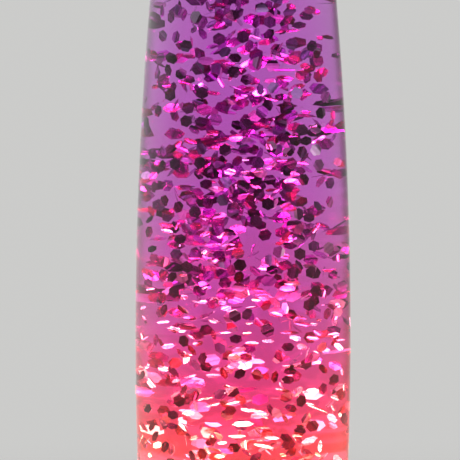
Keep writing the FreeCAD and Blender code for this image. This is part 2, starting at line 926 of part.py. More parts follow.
def make_holder_terminals():
    """Brass blocks under the holder's floor, each with a post through it."""
    terminals = []
    for y in (-terminal_offset, terminal_offset):
        low = recess_top - terminal_height
        body = block(terminal_size, terminal_size, low, recess_top, 0, y)
        post = cylinder(terminal_post, recess_top, holder_floor_top, 0, y)
        terminals.append(body.fuse(post))
    return group(terminals)


def make_screw_sleeve():
    """Brass sleeve with the bulb's thread cut into it, and a leg to its terminal."""
    low = tip_level + sleeve_rise
    high = low + sleeve_length
    bore = core_radius + thread_gap
    outer = holder_cavity - lap_fit
    sleeve = ring(bore, outer, low, high)
    turns_below = 2
    groove = helix_tube(thread_path_radius, thread_pitch, thread_turns + 2 * turns_below,
                        tip_level + thread_start - turns_below * thread_pitch,
                        thread_ridge + thread_gap)
    leg = block(contact_width, outer - bore, holder_floor_top, low, 0, -(outer + bore) / 2)
    foot = block(contact_width, sleeve_foot, holder_floor_top, holder_floor_top + contact_sheet,
                 0, -outer + sleeve_foot / 2)
    legs = leg.fuse(foot).common(cylinder(outer, holder_floor_top, high))
    return sleeve.cut(groove).fuse(legs)


def make_centre_contact():
    """Bronze spring strip that rises from its terminal to under the bulb's tip."""
    low, sheet, pad = holder_floor_top, contact_sheet, contact_pad
    high = low + contact_rise
    near, far = terminal_offset - contact_seat / 2, holder_cavity - contact_end_gap
    lean = sheet / 2
    outline = [(far, low), (far, low + sheet), (near + lean, low + sheet), (pad + lean, high + sheet),
               (-pad, high + sheet), (-pad, high), (pad, high), (near, low)]
    return plate_from([Vector(0, y, z) for y, z in outline], contact_width, Vector(1, 0, 0))


# Bulb

def make_bulb_tip():
    return turned(
        (0.0, tip_level),
        (tip_flat, tip_level),
        (tip_radius, tip_level + tip_slope_height),
        (tip_radius, tip_level + tip_height),
        (0.0, tip_level + tip_height),
    )


def make_bulb_insulator():
    seat = tip_level + tip_height
    top = tip_level + insulator_height
    return turned(
        (0.0, seat),
        (tip_radius + insulator_lip, seat),
        (core_radius - core_wall, top - insulator_lip),
        (core_radius - core_wall, top),
        (0.0, top),
    )


def make_bulb_screw_cap():
    """Thin brass cap with a rolled thread, flared where the glass goes in."""
    low = tip_level + insulator_height - insulator_lip
    inner = core_radius - core_wall
    lean = core_wall * (math.hypot(skirt_rise, skirt_flare) - skirt_rise) / skirt_flare
    skirt_radius = core_radius + skirt_flare
    cap = turned(
        (inner, low),
        (core_radius, low + core_wall),
        (core_radius, tip_level + skirt_start),
        (skirt_radius, tip_level + skirt_start + skirt_rise),
        (skirt_radius, tip_level + skirt_end),
        (skirt_radius - core_wall, tip_level + skirt_end),
        (skirt_radius - core_wall, tip_level + skirt_start + skirt_rise + lean),
        (inner, tip_level + skirt_start + lean),
    )
    ridge = helix_tube(thread_path_radius, thread_pitch, thread_turns,
                       tip_level + thread_start, thread_ridge)
    bore = cylinder(inner, tip_level, tip_level + skirt_start)
    return cap.fuse(ridge.cut(bore))


def bulb_form(inset):
    """The bulb's glass as a full solid, moved in: a straight neck, a slope and a ball."""
    neck = bulb_neck_radius - inset
    ball = bulb_radius - inset
    centre = (0.0, tip_level + bulb_length - bulb_radius)
    neck_end = tip_level + bulb_neck_end
    drop = centre[1] - neck_end
    downward = math.degrees(math.atan2(drop, neck))
    touch = math.degrees(math.acos(ball / math.hypot(neck, drop))) - downward
    low = tip_level + bulb_neck_start
    return turned(
        (0.0, low),
        (neck, low),
        (neck, neck_end),
        along(centre, ball, touch),
        arc(centre, ball, touch, 90),
    )


def make_bulb_glass():
    return bulb_form(0.0).cut(bulb_form(bulb_glass_wall))


def make_bulb_stem():
    """Glass plug that closes the neck, drawn out into a rod."""
    low = tip_level + bulb_neck_start
    flange = low + stem_flange
    inside = bulb_neck_radius - bulb_glass_wall
    return turned(
        (0.0, low),
        (inside, low),
        (inside, flange),
        (stem_radius, flange + stem_taper),
        (stem_radius, tip_level + stem_top),
        (0.0, tip_level + stem_top),
    )


def filament_points():
    """Corners of the zigzag filament, from one support's end to the other's."""
    level = tip_level + filament_height
    places = [(-1.0, 0.0), (-0.5, filament_zigzag), (0.0, 0.0), (0.5, filament_zigzag), (1.0, 0.0)]
    return [Vector(support_spread * x, 0, level + rise) for x, rise in places]


def make_bulb_supports():
    top = tip_level + stem_top + support_radius
    ends = filament_points()
    gap = UP * (filament_radius + support_radius)
    supports = []
    for side, end in ((-1, ends[0]), (0, ends[2]), (1, ends[4])):
        foot = Vector(side * support_foot_spread, 0, top)
        supports.append(rod(foot, end - gap, support_radius))
    return group(supports)


def make_bulb_filament():
    return bent_rod(filament_points(), filament_radius)


# Cord inlet and wiring

def make_cord_grommet():
    """Grommet with a flange on each side of the shell, both trimmed to its curve."""
    barrel = inlet_hole - inlet_fit
    flange = inlet_hole + inlet_flange_width
    inner_flange = flange - inlet_inner_step
    inner_face = inlet_sink - shell_wall
    rounding = inlet_rounding
    grommet = turned(
        (inlet_bore, -inlet_depth),
        (inlet_hole, -inlet_depth),
        (inner_flange, inner_face - inlet_flange),
        (inner_flange, inner_face),
        (barrel, inner_face),
        (barrel, -inlet_sag),
        (flange, -inlet_sag),
        (flange, inlet_flange - rounding),
        arc((flange - rounding, inlet_flange - rounding), rounding, 0, 90),
        (inlet_bore, inlet_flange),
    )
    return placed(grommet, inlet_place).cut(make_base_cone())


block_poles = (block_x - block_pole_spread, block_x + block_pole_spread)
pole_level = plate_top + block_height / 2


def make_terminal_block():
    front = block_y - block_depth / 2
    body = block(block_length, block_depth, plate_top, plate_top + block_height,
                 block_x, block_y, block_corner)
    cuts = [cylinder(screw_radius, plate_top, plate_top + block_height, block_x, block_y)]
    head_seat = plate_top + block_height - screw_head_height
    cuts.append(cylinder(screw_head_radius + screw_gap, head_seat, plate_top + block_height,
                         block_x, block_y))
    for x in block_poles:
        cuts.append(rod(Vector(x, front, pole_level), Vector(x, front + block_depth, pole_level),
                        block_bore))
        for y in (block_y - block_screw_spread, block_y + block_screw_spread):
            cuts.append(cylinder(block_screw_radius, pole_level, plate_top + block_height, x, y))
    return body.cut(cuts)


def make_terminal_sleeves():
    front = block_y - block_depth / 2 + block_lead_depth
    back = block_y + block_depth / 2 - block_lead_depth
    sleeves = []
    for x in block_poles:
        start, end = Vector(x, front, pole_level), Vector(x, back, pole_level)
        sleeve = rod(start, end, block_bore).cut(rod(start, end, block_sleeve_bore))
        screw_holes = [cylinder(block_screw_radius, pole_level, pole_level + block_bore, x, y)
                       for y in (block_y - block_screw_spread, block_y + block_screw_spread)]
        sleeves.append(sleeve.cut(screw_holes))
    return group(sleeves)


def make_terminal_screws():
    low = pole_level + block_sleeve_bore
    screws = []
    for x in block_poles:
        for y in (block_y - block_screw_spread, block_y + block_screw_spread):
            screw = cylinder(block_screw_radius, low, low + block_screw_length, x, y)
            high = low + block_screw_length
            slot = block(3 * block_screw_radius, block_slot, high - block_slot_depth, high, x, y)
            screws.append(screw.cut(slot))
    return group(screws)


def make_block_screw():
    seat = plate_top + block_height - screw_head_height
    return pan_screw(seat, block_height - screw_head_height + plate_thickness,
                     block_x, block_y, way=-1)


normal_in = switch_place.Rotation.multVec(Vector(0, 0, -1))


def blade_end(side):
    """Middle of a switch blade's end face."""
    depth = switch_depth + blade_length
    return switch_place.multVec(Vector(0, side * blade_spread, -depth))


def holder_wire_end(side):
    return Vector(0, side * terminal_offset, recess_top - terminal_height)


def block_wire_end(pole):
    return Vector(block_poles[pole], block_y - block_depth / 2 + block_lead_depth, pole_level)


def make_lead_live():
    """From the terminal block to the switch's lower blade."""
    start, end = blade_end(-1), block_wire_end(1)
    floor = plate_top
    return lead_tube("live lead", [
        start,
        start + normal_in * 6.0,
        Vector(block_x - 2.9, 3.0, floor + 6.5),
        Vector(block_x, 9.0, floor + 4.4),
        end - Vector(0, 6.5, 0),
        end,
    ], lead_radius)


def make_lead_switched():
    """From the switch's upper blade to the holder's centre-contact terminal."""
    start, end = blade_end(1), holder_wire_end(1)
    floor = plate_top
    return lead_tube("switched lead", [
        start,
        start + normal_in * 5.5,
        Vector(16.8, -3.0, floor + 11.0),
        Vector(15.2, -4.6, floor + 4.5),
        Vector(9.0, -1.0, floor + 1.8),
        Vector(3.0, 3.2, floor + 2.4),
        end - UP * 5.5,
        end,
    ], lead_radius)


def make_lead_neutral():
    """From the holder's sleeve terminal round to the terminal block."""
    start, end = holder_wire_end(-1), block_wire_end(0)
    floor = plate_top
    return lead_tube("neutral lead", [
        start,
        start - UP * 6.0,
        Vector(-3.0, -4.4, floor + 1.8),
        Vector(-9.0, 1.0, floor + 1.5),
        Vector(-4.0, 7.6, floor + 1.5),
        Vector(4.0, 8.2, floor + 1.6),
        Vector(12.5, 8.4, floor + 3.0),
        end - Vector(0, 6.0, 0),
        end,
    ], lead_radius)


# Switch: in its own place x is sideways, y up the slope and z out of the shell

rocker_reach = switch_length / 2 - switch_wall - rocker_gap
rocker_width = switch_width - 2 * switch_wall - 2 * rocker_gap
pivot_local = Vector(0, 0, -rocker_pivot_depth)


def make_switch_housing():
    flange = block(switch_width + 2 * switch_flange, switch_length + 2 * switch_flange,
                   -switch_sag, switch_flange_height, 0, 0, switch_corner)
    body = block(switch_width, switch_length, -switch_depth, 0)
    well = block(rocker_width + 2 * rocker_gap, 2 * (rocker_reach + rocker_gap),
                 -well_depth, switch_flange_height)
    pin_reach = rocker_width / 2 + rocker_gap + rocker_pin_length + rocker_pin_gap
    side = Vector(pin_reach, 0, 0)
    pin_holes = rod(pivot_local - side, pivot_local + side, rocker_pin_radius + rocker_pin_gap)
    housing = flange.fuse(body).cut([well, pin_holes])
    return placed(housing, switch_place).cut(make_base_cone())


def make_switch_rocker():
    """Shallow vee between round ends, with a pivot pin on each side, at rest pressed to on."""
    outline = [(-rocker_reach, rocker_end_height), (0.0, rocker_middle_height),
               (rocker_reach, rocker_end_height), (rocker_reach, -rocker_keel),
               (-rocker_reach, -rocker_keel)]
    paddle = plate_from([Vector(0, y, z) for y, z in outline], rocker_width, Vector(1, 0, 0))
    half = Vector(rocker_width / 2, 0, 0)
    paddle = paddle.common(rod(half * -1, half, rocker_reach))
    side = Vector(rocker_width / 2 + rocker_gap + rocker_pin_length, 0, 0)
    rocker = paddle.fuse(rod(side * -1, side, rocker_pin_radius))
    rocker.rotate(ORIGIN, Vector(1, 0, 0), rocker_swing / 2)
    rocker.translate(pivot_local)
    return placed(rocker, switch_place)


def make_switch_blades():
    blades = []
    for y in (-blade_spread, blade_spread):
        blade = block(blade_width, blade_thickness, -switch_depth - blade_length, -switch_depth, 0, y)
        blades.append(placed(blade, switch_place))
    return group(blades)


makers = {
    "bottle_glass": make_bottle_glass,
    "liquid": make_liquid,
    "glitter": make_glitter,
    "crown_cap": make_crown_cap,
    "crown_liner": make_crown_liner,
    "cap_shell": make_cap_shell,
    "cap_liner": make_cap_liner,
    "base_cone": make_base_cone,
    "bottle_cup": make_bottle_cup,
    "waist_rivets": make_waist_rivets,
    "seat_ring": make_seat_ring,
    "seat_gasket": make_seat_gasket,
    "bottom_plate": make_bottom_plate,
    "plate_lugs": make_plate_lugs,
    "plate_screws": make_plate_screws,
    "rubber_feet": make_rubber_feet,
    "holder_bridge": make_holder_bridge,
    "bridge_rivets": make_bridge_rivets,
    "lamp_holder": make_lamp_holder,
    "holder_screws": make_holder_screws,
    "holder_terminals": make_holder_terminals,
    "screw_sleeve": make_screw_sleeve,
    "centre_contact": make_centre_contact,
    "bulb_tip": make_bulb_tip,
    "bulb_insulator": make_bulb_insulator,
    "bulb_screw_cap": make_bulb_screw_cap,
    "bulb_glass": make_bulb_glass,
    "bulb_stem": make_bulb_stem,
    "bulb_supports": make_bulb_supports,
    "bulb_filament": make_bulb_filament,
    "cord_grommet": make_cord_grommet,
    "terminal_block": make_terminal_block,
    "terminal_sleeves": make_terminal_sleeves,
    "terminal_screws": make_terminal_screws,
    "block_screw": make_block_screw,
    "lead_live": make_lead_live,
    "lead_switched": make_lead_switched,
    "lead_neutral": make_lead_neutral,
    "switch_housing": make_switch_housing,
    "switch_rocker": make_switch_rocker,
    "switch_blades": make_switch_blades,
}

os.makedirs("parts", exist_ok=True)
for node, make in makers.items():
    make().exportStep("parts/" + node + ".step")

pivot = switch_place.multVec(pivot_local)
print("switch pivot", [round(v, 3) for v in pivot], "slope", round(slope, 3))
print("inlet", [round(v, 3) for v in inlet_place.Base])
print("bulb travel", round(bulb_travel, 3), "rim", round(rim_level, 2), "height", cap_top + cap_dome)
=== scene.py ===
"""Looks of the glitter lamp: blown glass, tinted liquid, hexagonal flakes and spun metal.

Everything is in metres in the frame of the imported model: the lamp stands on z = 0
about the z axis and the photograph looks at it along +Y. Sizes are written in
millimetres and multiplied by MM.
"""
import math

import bpy
import numpy as np
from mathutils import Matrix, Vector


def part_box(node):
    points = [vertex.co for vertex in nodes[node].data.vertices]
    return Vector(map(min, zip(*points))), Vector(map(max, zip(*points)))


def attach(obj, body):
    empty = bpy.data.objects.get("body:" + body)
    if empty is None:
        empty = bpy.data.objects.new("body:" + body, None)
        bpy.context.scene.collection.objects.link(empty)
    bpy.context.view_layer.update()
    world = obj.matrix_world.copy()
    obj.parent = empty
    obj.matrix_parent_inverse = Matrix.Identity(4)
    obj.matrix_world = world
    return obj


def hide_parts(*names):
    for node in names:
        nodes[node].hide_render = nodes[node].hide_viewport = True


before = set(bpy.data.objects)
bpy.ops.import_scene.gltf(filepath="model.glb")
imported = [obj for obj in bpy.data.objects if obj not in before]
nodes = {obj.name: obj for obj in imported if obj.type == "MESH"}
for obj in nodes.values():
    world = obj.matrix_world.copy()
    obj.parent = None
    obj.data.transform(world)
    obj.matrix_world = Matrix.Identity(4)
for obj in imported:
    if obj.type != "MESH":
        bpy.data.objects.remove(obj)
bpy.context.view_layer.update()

MM = 0.001

# Levels and sizes of the bottle, in millimetres, from its CAD box and its drawing
stand_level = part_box("bottle_glass")[0][2] / MM
finish_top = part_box("bottle_glass")[1][2] / MM
liquid_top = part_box("liquid")[1][2] / MM
bottle_radius = 32.0
widest_level = stand_level + 75.5
wall_arc_radius = 1171.0
glass_wall = 2.5
heel_drop = 34.0
heel_arc_radius = 60.0
foot_angle = 9.5
foot_corner = 6.0
foot_inner_corner = 3.5
inner_floor = stand_level + 4.0
punt_height = 4.0
stand_ring_width = 2.5
shoulder_rise = 162.0
shoulder_corner = 9.0
shoulder_angle = 62.0
neck_radius = 12.2
neck_bore = 8.0
lip_overhang = 1.1
lip_height = 5.0
lip_rounding = 1.0
wall_film = 0.04              # between the liquid and the glass
surface_drop = 0.5            # from the liquid's free surface down to the top of its main body
glass_ior = 1.5
liquid_ior = 1.36

# The photograph's camera: the bottle's axis stands 13 pixels right of the picture's middle, and its
# widest level 120 pixels below. From there the silhouette narrows with the square of the distance
picture_size = 460
picture_middle = picture_size / 2
axis_shift = 13
widest_shift = 120
half_width = 108
half_width_fall = 1.265e-4
pixel = 0.2963 * MM
camera_distance = 0.62
camera_elevation = math.radians(5.0)
sensor_width = 36.0
target = np.array([-axis_shift * pixel, 0.0, widest_level * MM + widest_shift * pixel])
back = np.array([0.0, -math.cos(camera_elevation), math.sin(camera_elevation)])
up = np.array([0.0, math.sin(camera_elevation), math.cos(camera_elevation)])


def along(centre, distance, angle):
    """The point at a distance from a centre, at an angle in degrees over the outward direction."""
    turn = math.radians(angle)
    return (centre[0] + distance * math.cos(turn), centre[1] + distance * math.sin(turn))


def arc(centre, radius, start, end, count):
    """Points along an arc, from its start angle to its end angle in degrees."""
    angles = np.radians(np.linspace(start, end, count))
    return np.stack([centre[0] + radius * np.cos(angles), centre[1] + radius * np.sin(angles)], 1)


def line(start, end, count):
    """Points spread evenly along a straight run, its ends included."""
    share = np.linspace(0, 1, count)[:, None]
    return np.array(start) * (1 - share) + np.array(end) * share


nearest = 1e-4                # points closer than this are one point


def outline(*runs):
    """Joins runs of (radius, height) points into one outline and drops repeated points."""
    points = np.concatenate([np.atleast_2d(np.array(run, float)) for run in runs])
    keep = np.ones(len(points), bool)
    keep[1:] = np.linalg.norm(np.diff(points, axis=0), axis=1) > nearest
    return points[keep]


wall_centre = (bottle_radius - wall_arc_radius, widest_level)
heel_start = math.degrees(math.asin(heel_drop / wall_arc_radius))
shoulder_start = math.degrees(math.asin(shoulder_rise / wall_arc_radius))
heel_centre = along(wall_centre, wall_arc_radius - heel_arc_radius, -heel_start)
shoulder_centre = along(wall_centre, wall_arc_radius - shoulder_corner, shoulder_start)
foot_point = along(heel_centre, heel_arc_radius, -foot_angle)
foot_slope = math.tan(math.radians(foot_angle))


def wall_radius(level, inset):
    """Radius of the bottle's long wall arc at a level, moved in by an inset; works on arrays."""
    return wall_centre[0] + np.sqrt((wall_arc_radius - inset) ** 2 - (level - widest_level) ** 2)


def foot_radius(level, inset):
    """Radius of the straight slope of the foot at a level, moved in by an inset."""
    start = foot_point[0] - inset / math.cos(math.radians(foot_angle))
    return start + (level - foot_point[1]) * foot_slope


def corner_centre(inset, floor, corner):
    """Centre of the arc that rounds the foot's slope into a floor."""
    return (foot_radius(floor + corner, inset + corner), floor + corner)


def side_points(inset, floor, corner):
    """The bottle's side as an outline: floor corner, foot slope, heel arc, wall arc and shoulder;
    and the point where the shoulder's arc ends."""
    shoulder_end = along(shoulder_centre, shoulder_corner - inset, shoulder_angle)
    return outline(
        arc(corner_centre(inset, floor, corner), corner, -90, -foot_angle, 14),
        arc(heel_centre, heel_arc_radius - inset, -foot_angle, -heel_start, 16),
        arc(wall_centre, wall_arc_radius - inset, -heel_start, shoulder_start, 90),
        arc(shoulder_centre, shoulder_corner - inset, shoulder_start, shoulder_angle, 14),
    ), shoulder_end


def neck_start(inset, radius):
    """Level at which the shoulder's slope meets the neck."""
    edge = along(shoulder_centre, shoulder_corner - inset, shoulder_angle)
    return edge[1] + (edge[0] - radius) / math.tan(math.radians(shoulder_angle))


def dome(level, edge, rise):
    """Shallow dome from the middle to its edge: a circle arc whose centre lies on the axis."""
    ball = (edge ** 2 + rise ** 2) / (2 * rise)
    edge_angle = math.degrees(math.acos(edge / ball))
    points = arc((0.0, level + rise - ball), ball, 90, edge_angle, 12)
    points[0, 0] = 0.0
    return points


def new_object(name, data):
    """A new object in the scene."""
    made = bpy.data.objects.new(name, data)
    bpy.context.scene.collection.objects.link(made)
    return made


def new_piece(name, vertices, faces, body, replaced=(), smooth=True):
    """A mesh object from vertices in millimetres and faces, riding on a body."""
    mesh = bpy.data.meshes.new(name)
    mesh.from_pydata(np.asarray(vertices, float) * MM, [], faces)
    mesh.polygons.foreach_set("use_smooth", np.full(len(mesh.polygons), smooth))
    mesh.update()
    piece = new_object(name, mesh)
    if replaced:
        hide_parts(*replaced)
    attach(piece, body)
    return piece


def lathe(profile, segments):
    """Surface of revolution: point k of the profile turned to angle 2 pi j / segments.
    A profile point on the axis gives one pole vertex, so that the surface has no seam or hole.
    The profile runs so that the outside lies on its right hand side."""
    angles = np.arange(segments) * 2 * math.pi / segments
    vertices, rows = [], []
    for radius, height in profile:
        first = len(vertices)
        if radius < nearest:
            vertices.append((0.0, 0.0, height))
            rows.append([first] * segments)
        else:
            vertices.extend(np.stack([radius * np.cos(angles), radius * np.sin(angles),
                                      np.full(segments, height)], 1))
            rows.append(list(range(first, first + segments)))
    faces = []
    for low, high in zip(rows, rows[1:]):
        for a, b, c, d in zip(low, low[1:] + low[:1], high[1:] + high[:1], high):
            face = [a, b, c, d]
            if a == b:
                face = [a, c, d]
            if c == d:
                face = [a, b, c]
            faces.append(face)
    return np.array(vertices), faces


# Materials: a Principled shader with constant sockets, and patterns of nodes in the rest. The
# helpers take a material or the world, since each has a tree of nodes

def shader(name, **sockets):
    """A new material and its Principled node, with named sockets set to constants."""
    made = bpy.data.materials.new(name)
    made.use_nodes = True
    principled = made.node_tree.nodes["Principled BSDF"]
    for socket, value in sockets.items():
        socket = socket.replace("_", " ")
        colour = isinstance(value, tuple) and len(value) == 3
        principled.inputs[socket].default_value = (*value, 1.0) if colour else value
    return made, principled


def add(made, kind, inputs=None, **settings):
    """Adds a node; inputs maps a socket to a value or to another node's output."""
    tree = made.node_tree
    node = tree.nodes.new("ShaderNode" + kind)
    for setting, value in settings.items():
        setattr(node, setting, value)
    for socket, value in (inputs or {}).items():
        if isinstance(value, bpy.types.NodeSocket):
            tree.links.new(value, node.inputs[socket])
        else:
            node.inputs[socket].default_value = value
    return node


def join(made, output, node, socket):
    """Links an output to a node's socket."""
    made.node_tree.links.new(output, node.inputs[socket])


def object_coords(made):
    """The place on the piece, in metres in the piece's own frame."""
    return add(made, "TexCoord").outputs["Object"]


def noise(made, coords, scale, detail, **more):
    """Noise from 0 to 1 at a scale per metre, over a place or, as plain rings, over one number."""
    inputs = {"Scale": scale, "Detail": detail, **more}
    if coords.type == "VECTOR":
        return add(made, "TexNoise", {"Vector": coords, **inputs}).outputs["Fac"]
    return add(made, "TexNoise", {"W": coords, **inputs}, noise_dimensions="1D").outputs["Fac"]


def calculate(made, operation, first, second, **settings):
    """One arithmetic step on two numbers."""
    return add(made, "Math", {0: first, 1: second}, operation=operation, **settings).outputs[0]


def spread(made, value, to=(0.0, 1.0), start=0.0, end=1.0, **settings):
    """Maps a value's run from start to end onto another run, and holds it there beyond."""
    return add(made, "MapRange", {"Value": value, "From Min": start, "From Max": end,
                                  "To Min": to[0], "To Max": to[1]}, **settings).outputs["Result"]


def mix(made, factor, first, second, blend="MIX"):
    """The first colour where the factor is 0 and the second, or a blend of both, where it is 1;
    each is a colour or an output."""
    inputs = {"Factor": factor}
    for socket, value in (("A", first), ("B", second)):
        inputs[socket] = (*value, 1.0) if isinstance(value, tuple) else value
    return add(made, "Mix", inputs, data_type="RGBA", blend_type=blend).outputs[2]


def ramp(made, factor, *stops):
    """Colour ramp through (position, colour) stops."""
    node = add(made, "ValToRGB", {"Fac": factor})
    elements = node.color_ramp.elements
    while len(elements) < len(stops):
        elements.new(0.5)
    for element, (position, colour) in zip(elements, stops):
        element.position = position
        element.color = (*colour, 1.0)
    return node.outputs["Color"]


def relief(made, principled, height, depth):
    """Lets a pattern stand depth metres proud."""
    bump = add(made, "Bump", {"Height": height, "Strength": 1.0, "Distance": depth})
    join(made, bump.outputs["Normal"], principled, "Normal")


def moulded(name, dark, light, roughness, scale=900.0, depth=0.00002):
    """Moulded plastic or rubber: mottled between two near colours, with a fine skin."""
    made, principled = shader(name)
    coords = object_coords(made)
    mottle = noise(made, coords, scale / 6, 5.0)
    join(made, ramp(made, mottle, (0.3, dark), (0.7, light)), principled, "Base Color")
    skin = noise(made, coords, scale, 4.0)
    relief(made, principled, skin, depth)
    rough = spread(made, skin, (roughness - 0.08, roughness + 0.08))
    join(made, rough, principled, "Roughness")
    return made


def metal(name, dark, light, roughness, scale=400.0, **sockets):
    """Plated or bare metal: cloudy tarnish between two colours and faint rolling marks."""
    made, principled = shader(name, Metallic=1.0, **sockets)
    coords = object_coords(made)
    cloud = noise(made, coords, scale / 3, 6.0)
    join(made, ramp(made, cloud, (0.35, dark), (0.65, light)), principled, "Base Color")
    relief(made, principled, noise(made, coords, scale * 8, 4.0), 0.000004)
    rough = spread(made, cloud, (roughness - 0.08, roughness + 0.1))
    join(made, rough, principled, "Roughness")
    return made


def turned_metal(name, dark, light, roughness):
    """Spun and lacquered metal: fine rings by height plus radius, as a lathe tool leaves them."""
    made, principled = shader(name, Metallic=1.0, Anisotropic=0.55, Coat_Weight=0.2,
                              Coat_Roughness=0.1)
    coords = object_coords(made)
    parts = add(made, "SeparateXYZ", {"Vector": coords}).outputs
    flat = add(made, "CombineXYZ", {"X": parts["X"], "Y": parts["Y"]}).outputs["Vector"]
    out = add(made, "VectorMath", {0: flat}, operation="LENGTH").outputs["Value"]
    ring = calculate(made, "ADD", parts["Z"], out)
    cloudy = calculate(made, "ADD", noise(made, ring, 900.0, 3.0), noise(made, coords, 38.0, 4.0))
    halved = calculate(made, "MULTIPLY", cloudy, 0.5)
    join(made, ramp(made, halved, (0.35, dark), (0.65, light)), principled, "Base Color")
    rough = spread(made, halved, (roughness - 0.05, roughness + 0.05), 0.3, 0.7)
    join(made, rough, principled, "Roughness")
    relief(made, principled, noise(made, ring, 3200.0, 4.0), 0.000008)
    tangent = add(made, "Tangent", direction_type="RADIAL", axis="Z")
    join(made, tangent.outputs["Tangent"], principled, "Tangent")
    return made


def clear_glass(name, colour, ior, wave_scale):
    """Blown glass: clear, with a very faint waviness from the mould."""
    made, principled = shader(name, Base_Color=colour, Roughness=0.0, IOR=ior,
                              Transmission_Weight=1.0)
    relief(made, principled, noise(made, object_coords(made), wave_scale, 1.0), 0.00001)
    return made


# The liquid's tint and its painted glow by height. Each stop: millimetres over the table, then for
# the tint the share of light that the surface lets through, the dye's own tint painted warmer low
# down as light of the bulb, and for the glow the warm light of the bulb scattered in the liquid,
# painted on as emission
tint_and_painted_warmth_stops = (
    (90.0, (0.92, 0.44, 0.14)),
    (132.0, (0.93, 0.40, 0.18)),
    (140.0, (0.95, 0.36, 0.26)),
    (152.0, (0.96, 0.41, 0.42)),
    (175.0, (0.95, 0.50, 0.65)),
    (205.0, (0.93, 0.66, 0.87)),
    (235.0, (0.90, 0.68, 0.94)),
    (265.0, (0.88, 0.72, 0.96)),
    (320.0, (0.88, 0.80, 0.98)),
)
painted_glow_stops = (
    (90.0, (0.80, 0.48, 0.30)),
    (122.0, (0.85, 0.38, 0.24)),
    (130.0, (0.88, 0.26, 0.13)),
    (140.0, (0.60, 0.060, 0.034)),
    (152.0, (0.38, 0.024, 0.030)),
    (170.0, (0.16, 0.018, 0.034)),
    (205.0, (0.03, 0.005, 0.014)),
    (250.0, (0.01, 0.001, 0.004)),
    (320.0, (0.005, 0.001, 0.003)),
)
# Painted light on the flakes: what their colour keeps by height, painted warmer low in the bottle,
# near the bulb
painted_warm_stops = (
    (120.0, (0.80, 0.92, 0.60)),
    (145.0, (0.80, 0.92, 0.54)),
    (165.0, (0.78, 0.74, 0.58)),
    (188.0, (0.92, 0.82, 0.84)),
    (215.0, (1.0, 1.0, 1.0)),
)


def by_height(made, stops):
    """Colour ramp over height: a height in millimetres becomes its share of the stops' span."""
    height = add(made, "SeparateXYZ", {"Vector": object_coords(made)}).outputs["Z"]
    low, high = stops[0][0], stops[-1][0]
    share = spread(made, height, start=low * MM, end=high * MM)
    return ramp(made, share, *[((level - low) / (high - low), colour) for level, colour in stops])


def liquid_with_painted_glow():
    """Clear dyed liquid: absorbs green by depth, tinted by height with painted warm light low down,
    its far wall painted with a glow that stands in for the bulb's light scattered in the liquid.
    """
    made, principled = shader("dye_and_painted_glow_liquid", Roughness=0.0, IOR=1.0, Transmission_Weight=1.0)
    join(made, by_height(made, tint_and_painted_warmth_stops), principled, "Base Color")
    # Painted glow: the bulb's warm light scattered in the liquid, paler in some patches and more
    # orange in others, emitted by the liquid's surface as though it were a lamp
    patches = noise(made, object_coords(made), 105.0, 2.0, Roughness=0.6, Distortion=1.2)
    painted_glow_patches = ramp(made, patches, (0.42, (1.3, 1.8, 2.6)), (0.47, (1.05, 1.0, 1.1)),
                  (0.50, (0.85, 0.60, 0.32)), (0.55, (0.78, 0.42, 0.08)))
    glow = mix(made, 1.0, by_height(made, painted_glow_stops), painted_glow_patches, "MULTIPLY")
    join(made, glow, principled, "Emission Color")
    # The painted glow comes from the liquid's inner side: its far wall seen through it glows, its
    # near side hardly
    behind = add(made, "NewGeometry").outputs["Backfacing"]
    join(made, spread(made, behind, (0.04, 1.0)), principled, "Emission Strength")
    dye = add(made, "VolumeAbsorption", {"Color": (0.88, 0.20, 0.90, 1.0), "Density": 34.0})
    join(made, dye.outputs["Volume"], made.node_tree.nodes["Material Output"], "Volume")
    return made


def foil_with_painted_light():
    """Metallised film: each strip's painted tone and mirror share, with fine creases whose hollows
    darken the colour as painted shade, and the colour painted warmer low in the bottle.
    """
    made, principled = shader("foil_with_painted_light", Specular_IOR_Level=0.5)
    tone = add(made, "Attribute", attribute_name="painted_flake_tone", attribute_type="GEOMETRY").outputs
    speck = noise(made, object_coords(made), 1500.0, 3.0)
    # Painted shade: the colour darkens in the hollows of the fine creases
    shade = ramp(made, speck, (0.3, (0.78, 0.78, 0.80)), (0.7, (1.0, 1.0, 1.0)))
    shaded = mix(made, 1.0, tone["Color"], shade, "MULTIPLY")
    painted_warm_colour = mix(made, 1.0, shaded, by_height(made, painted_warm_stops), "MULTIPLY")
    join(made, painted_warm_colour, principled, "Base Color")
    join(made, tone["Alpha"], principled, "Metallic")
    join(made, spread(made, speck, (0.05, 0.22)), principled, "Roughness")
    relief(made, principled, speck, 0.00002)
    return made


# Bottle

outer_side, outer_shoulder = side_points(0.0, stand_level, foot_corner)
inner_side, inner_shoulder = side_points(glass_wall, inner_floor, foot_inner_corner)
stand_inner = corner_centre(0.0, stand_level, foot_corner)[0] - stand_ring_width
lip_radius = neck_radius + lip_overhang
lip_low = finish_top - lip_height
# Heights and widths over which the neck's runs ease into each other
neck_ease, shoulder_ease, bore_ease = 0.4, 1.0, 2.0


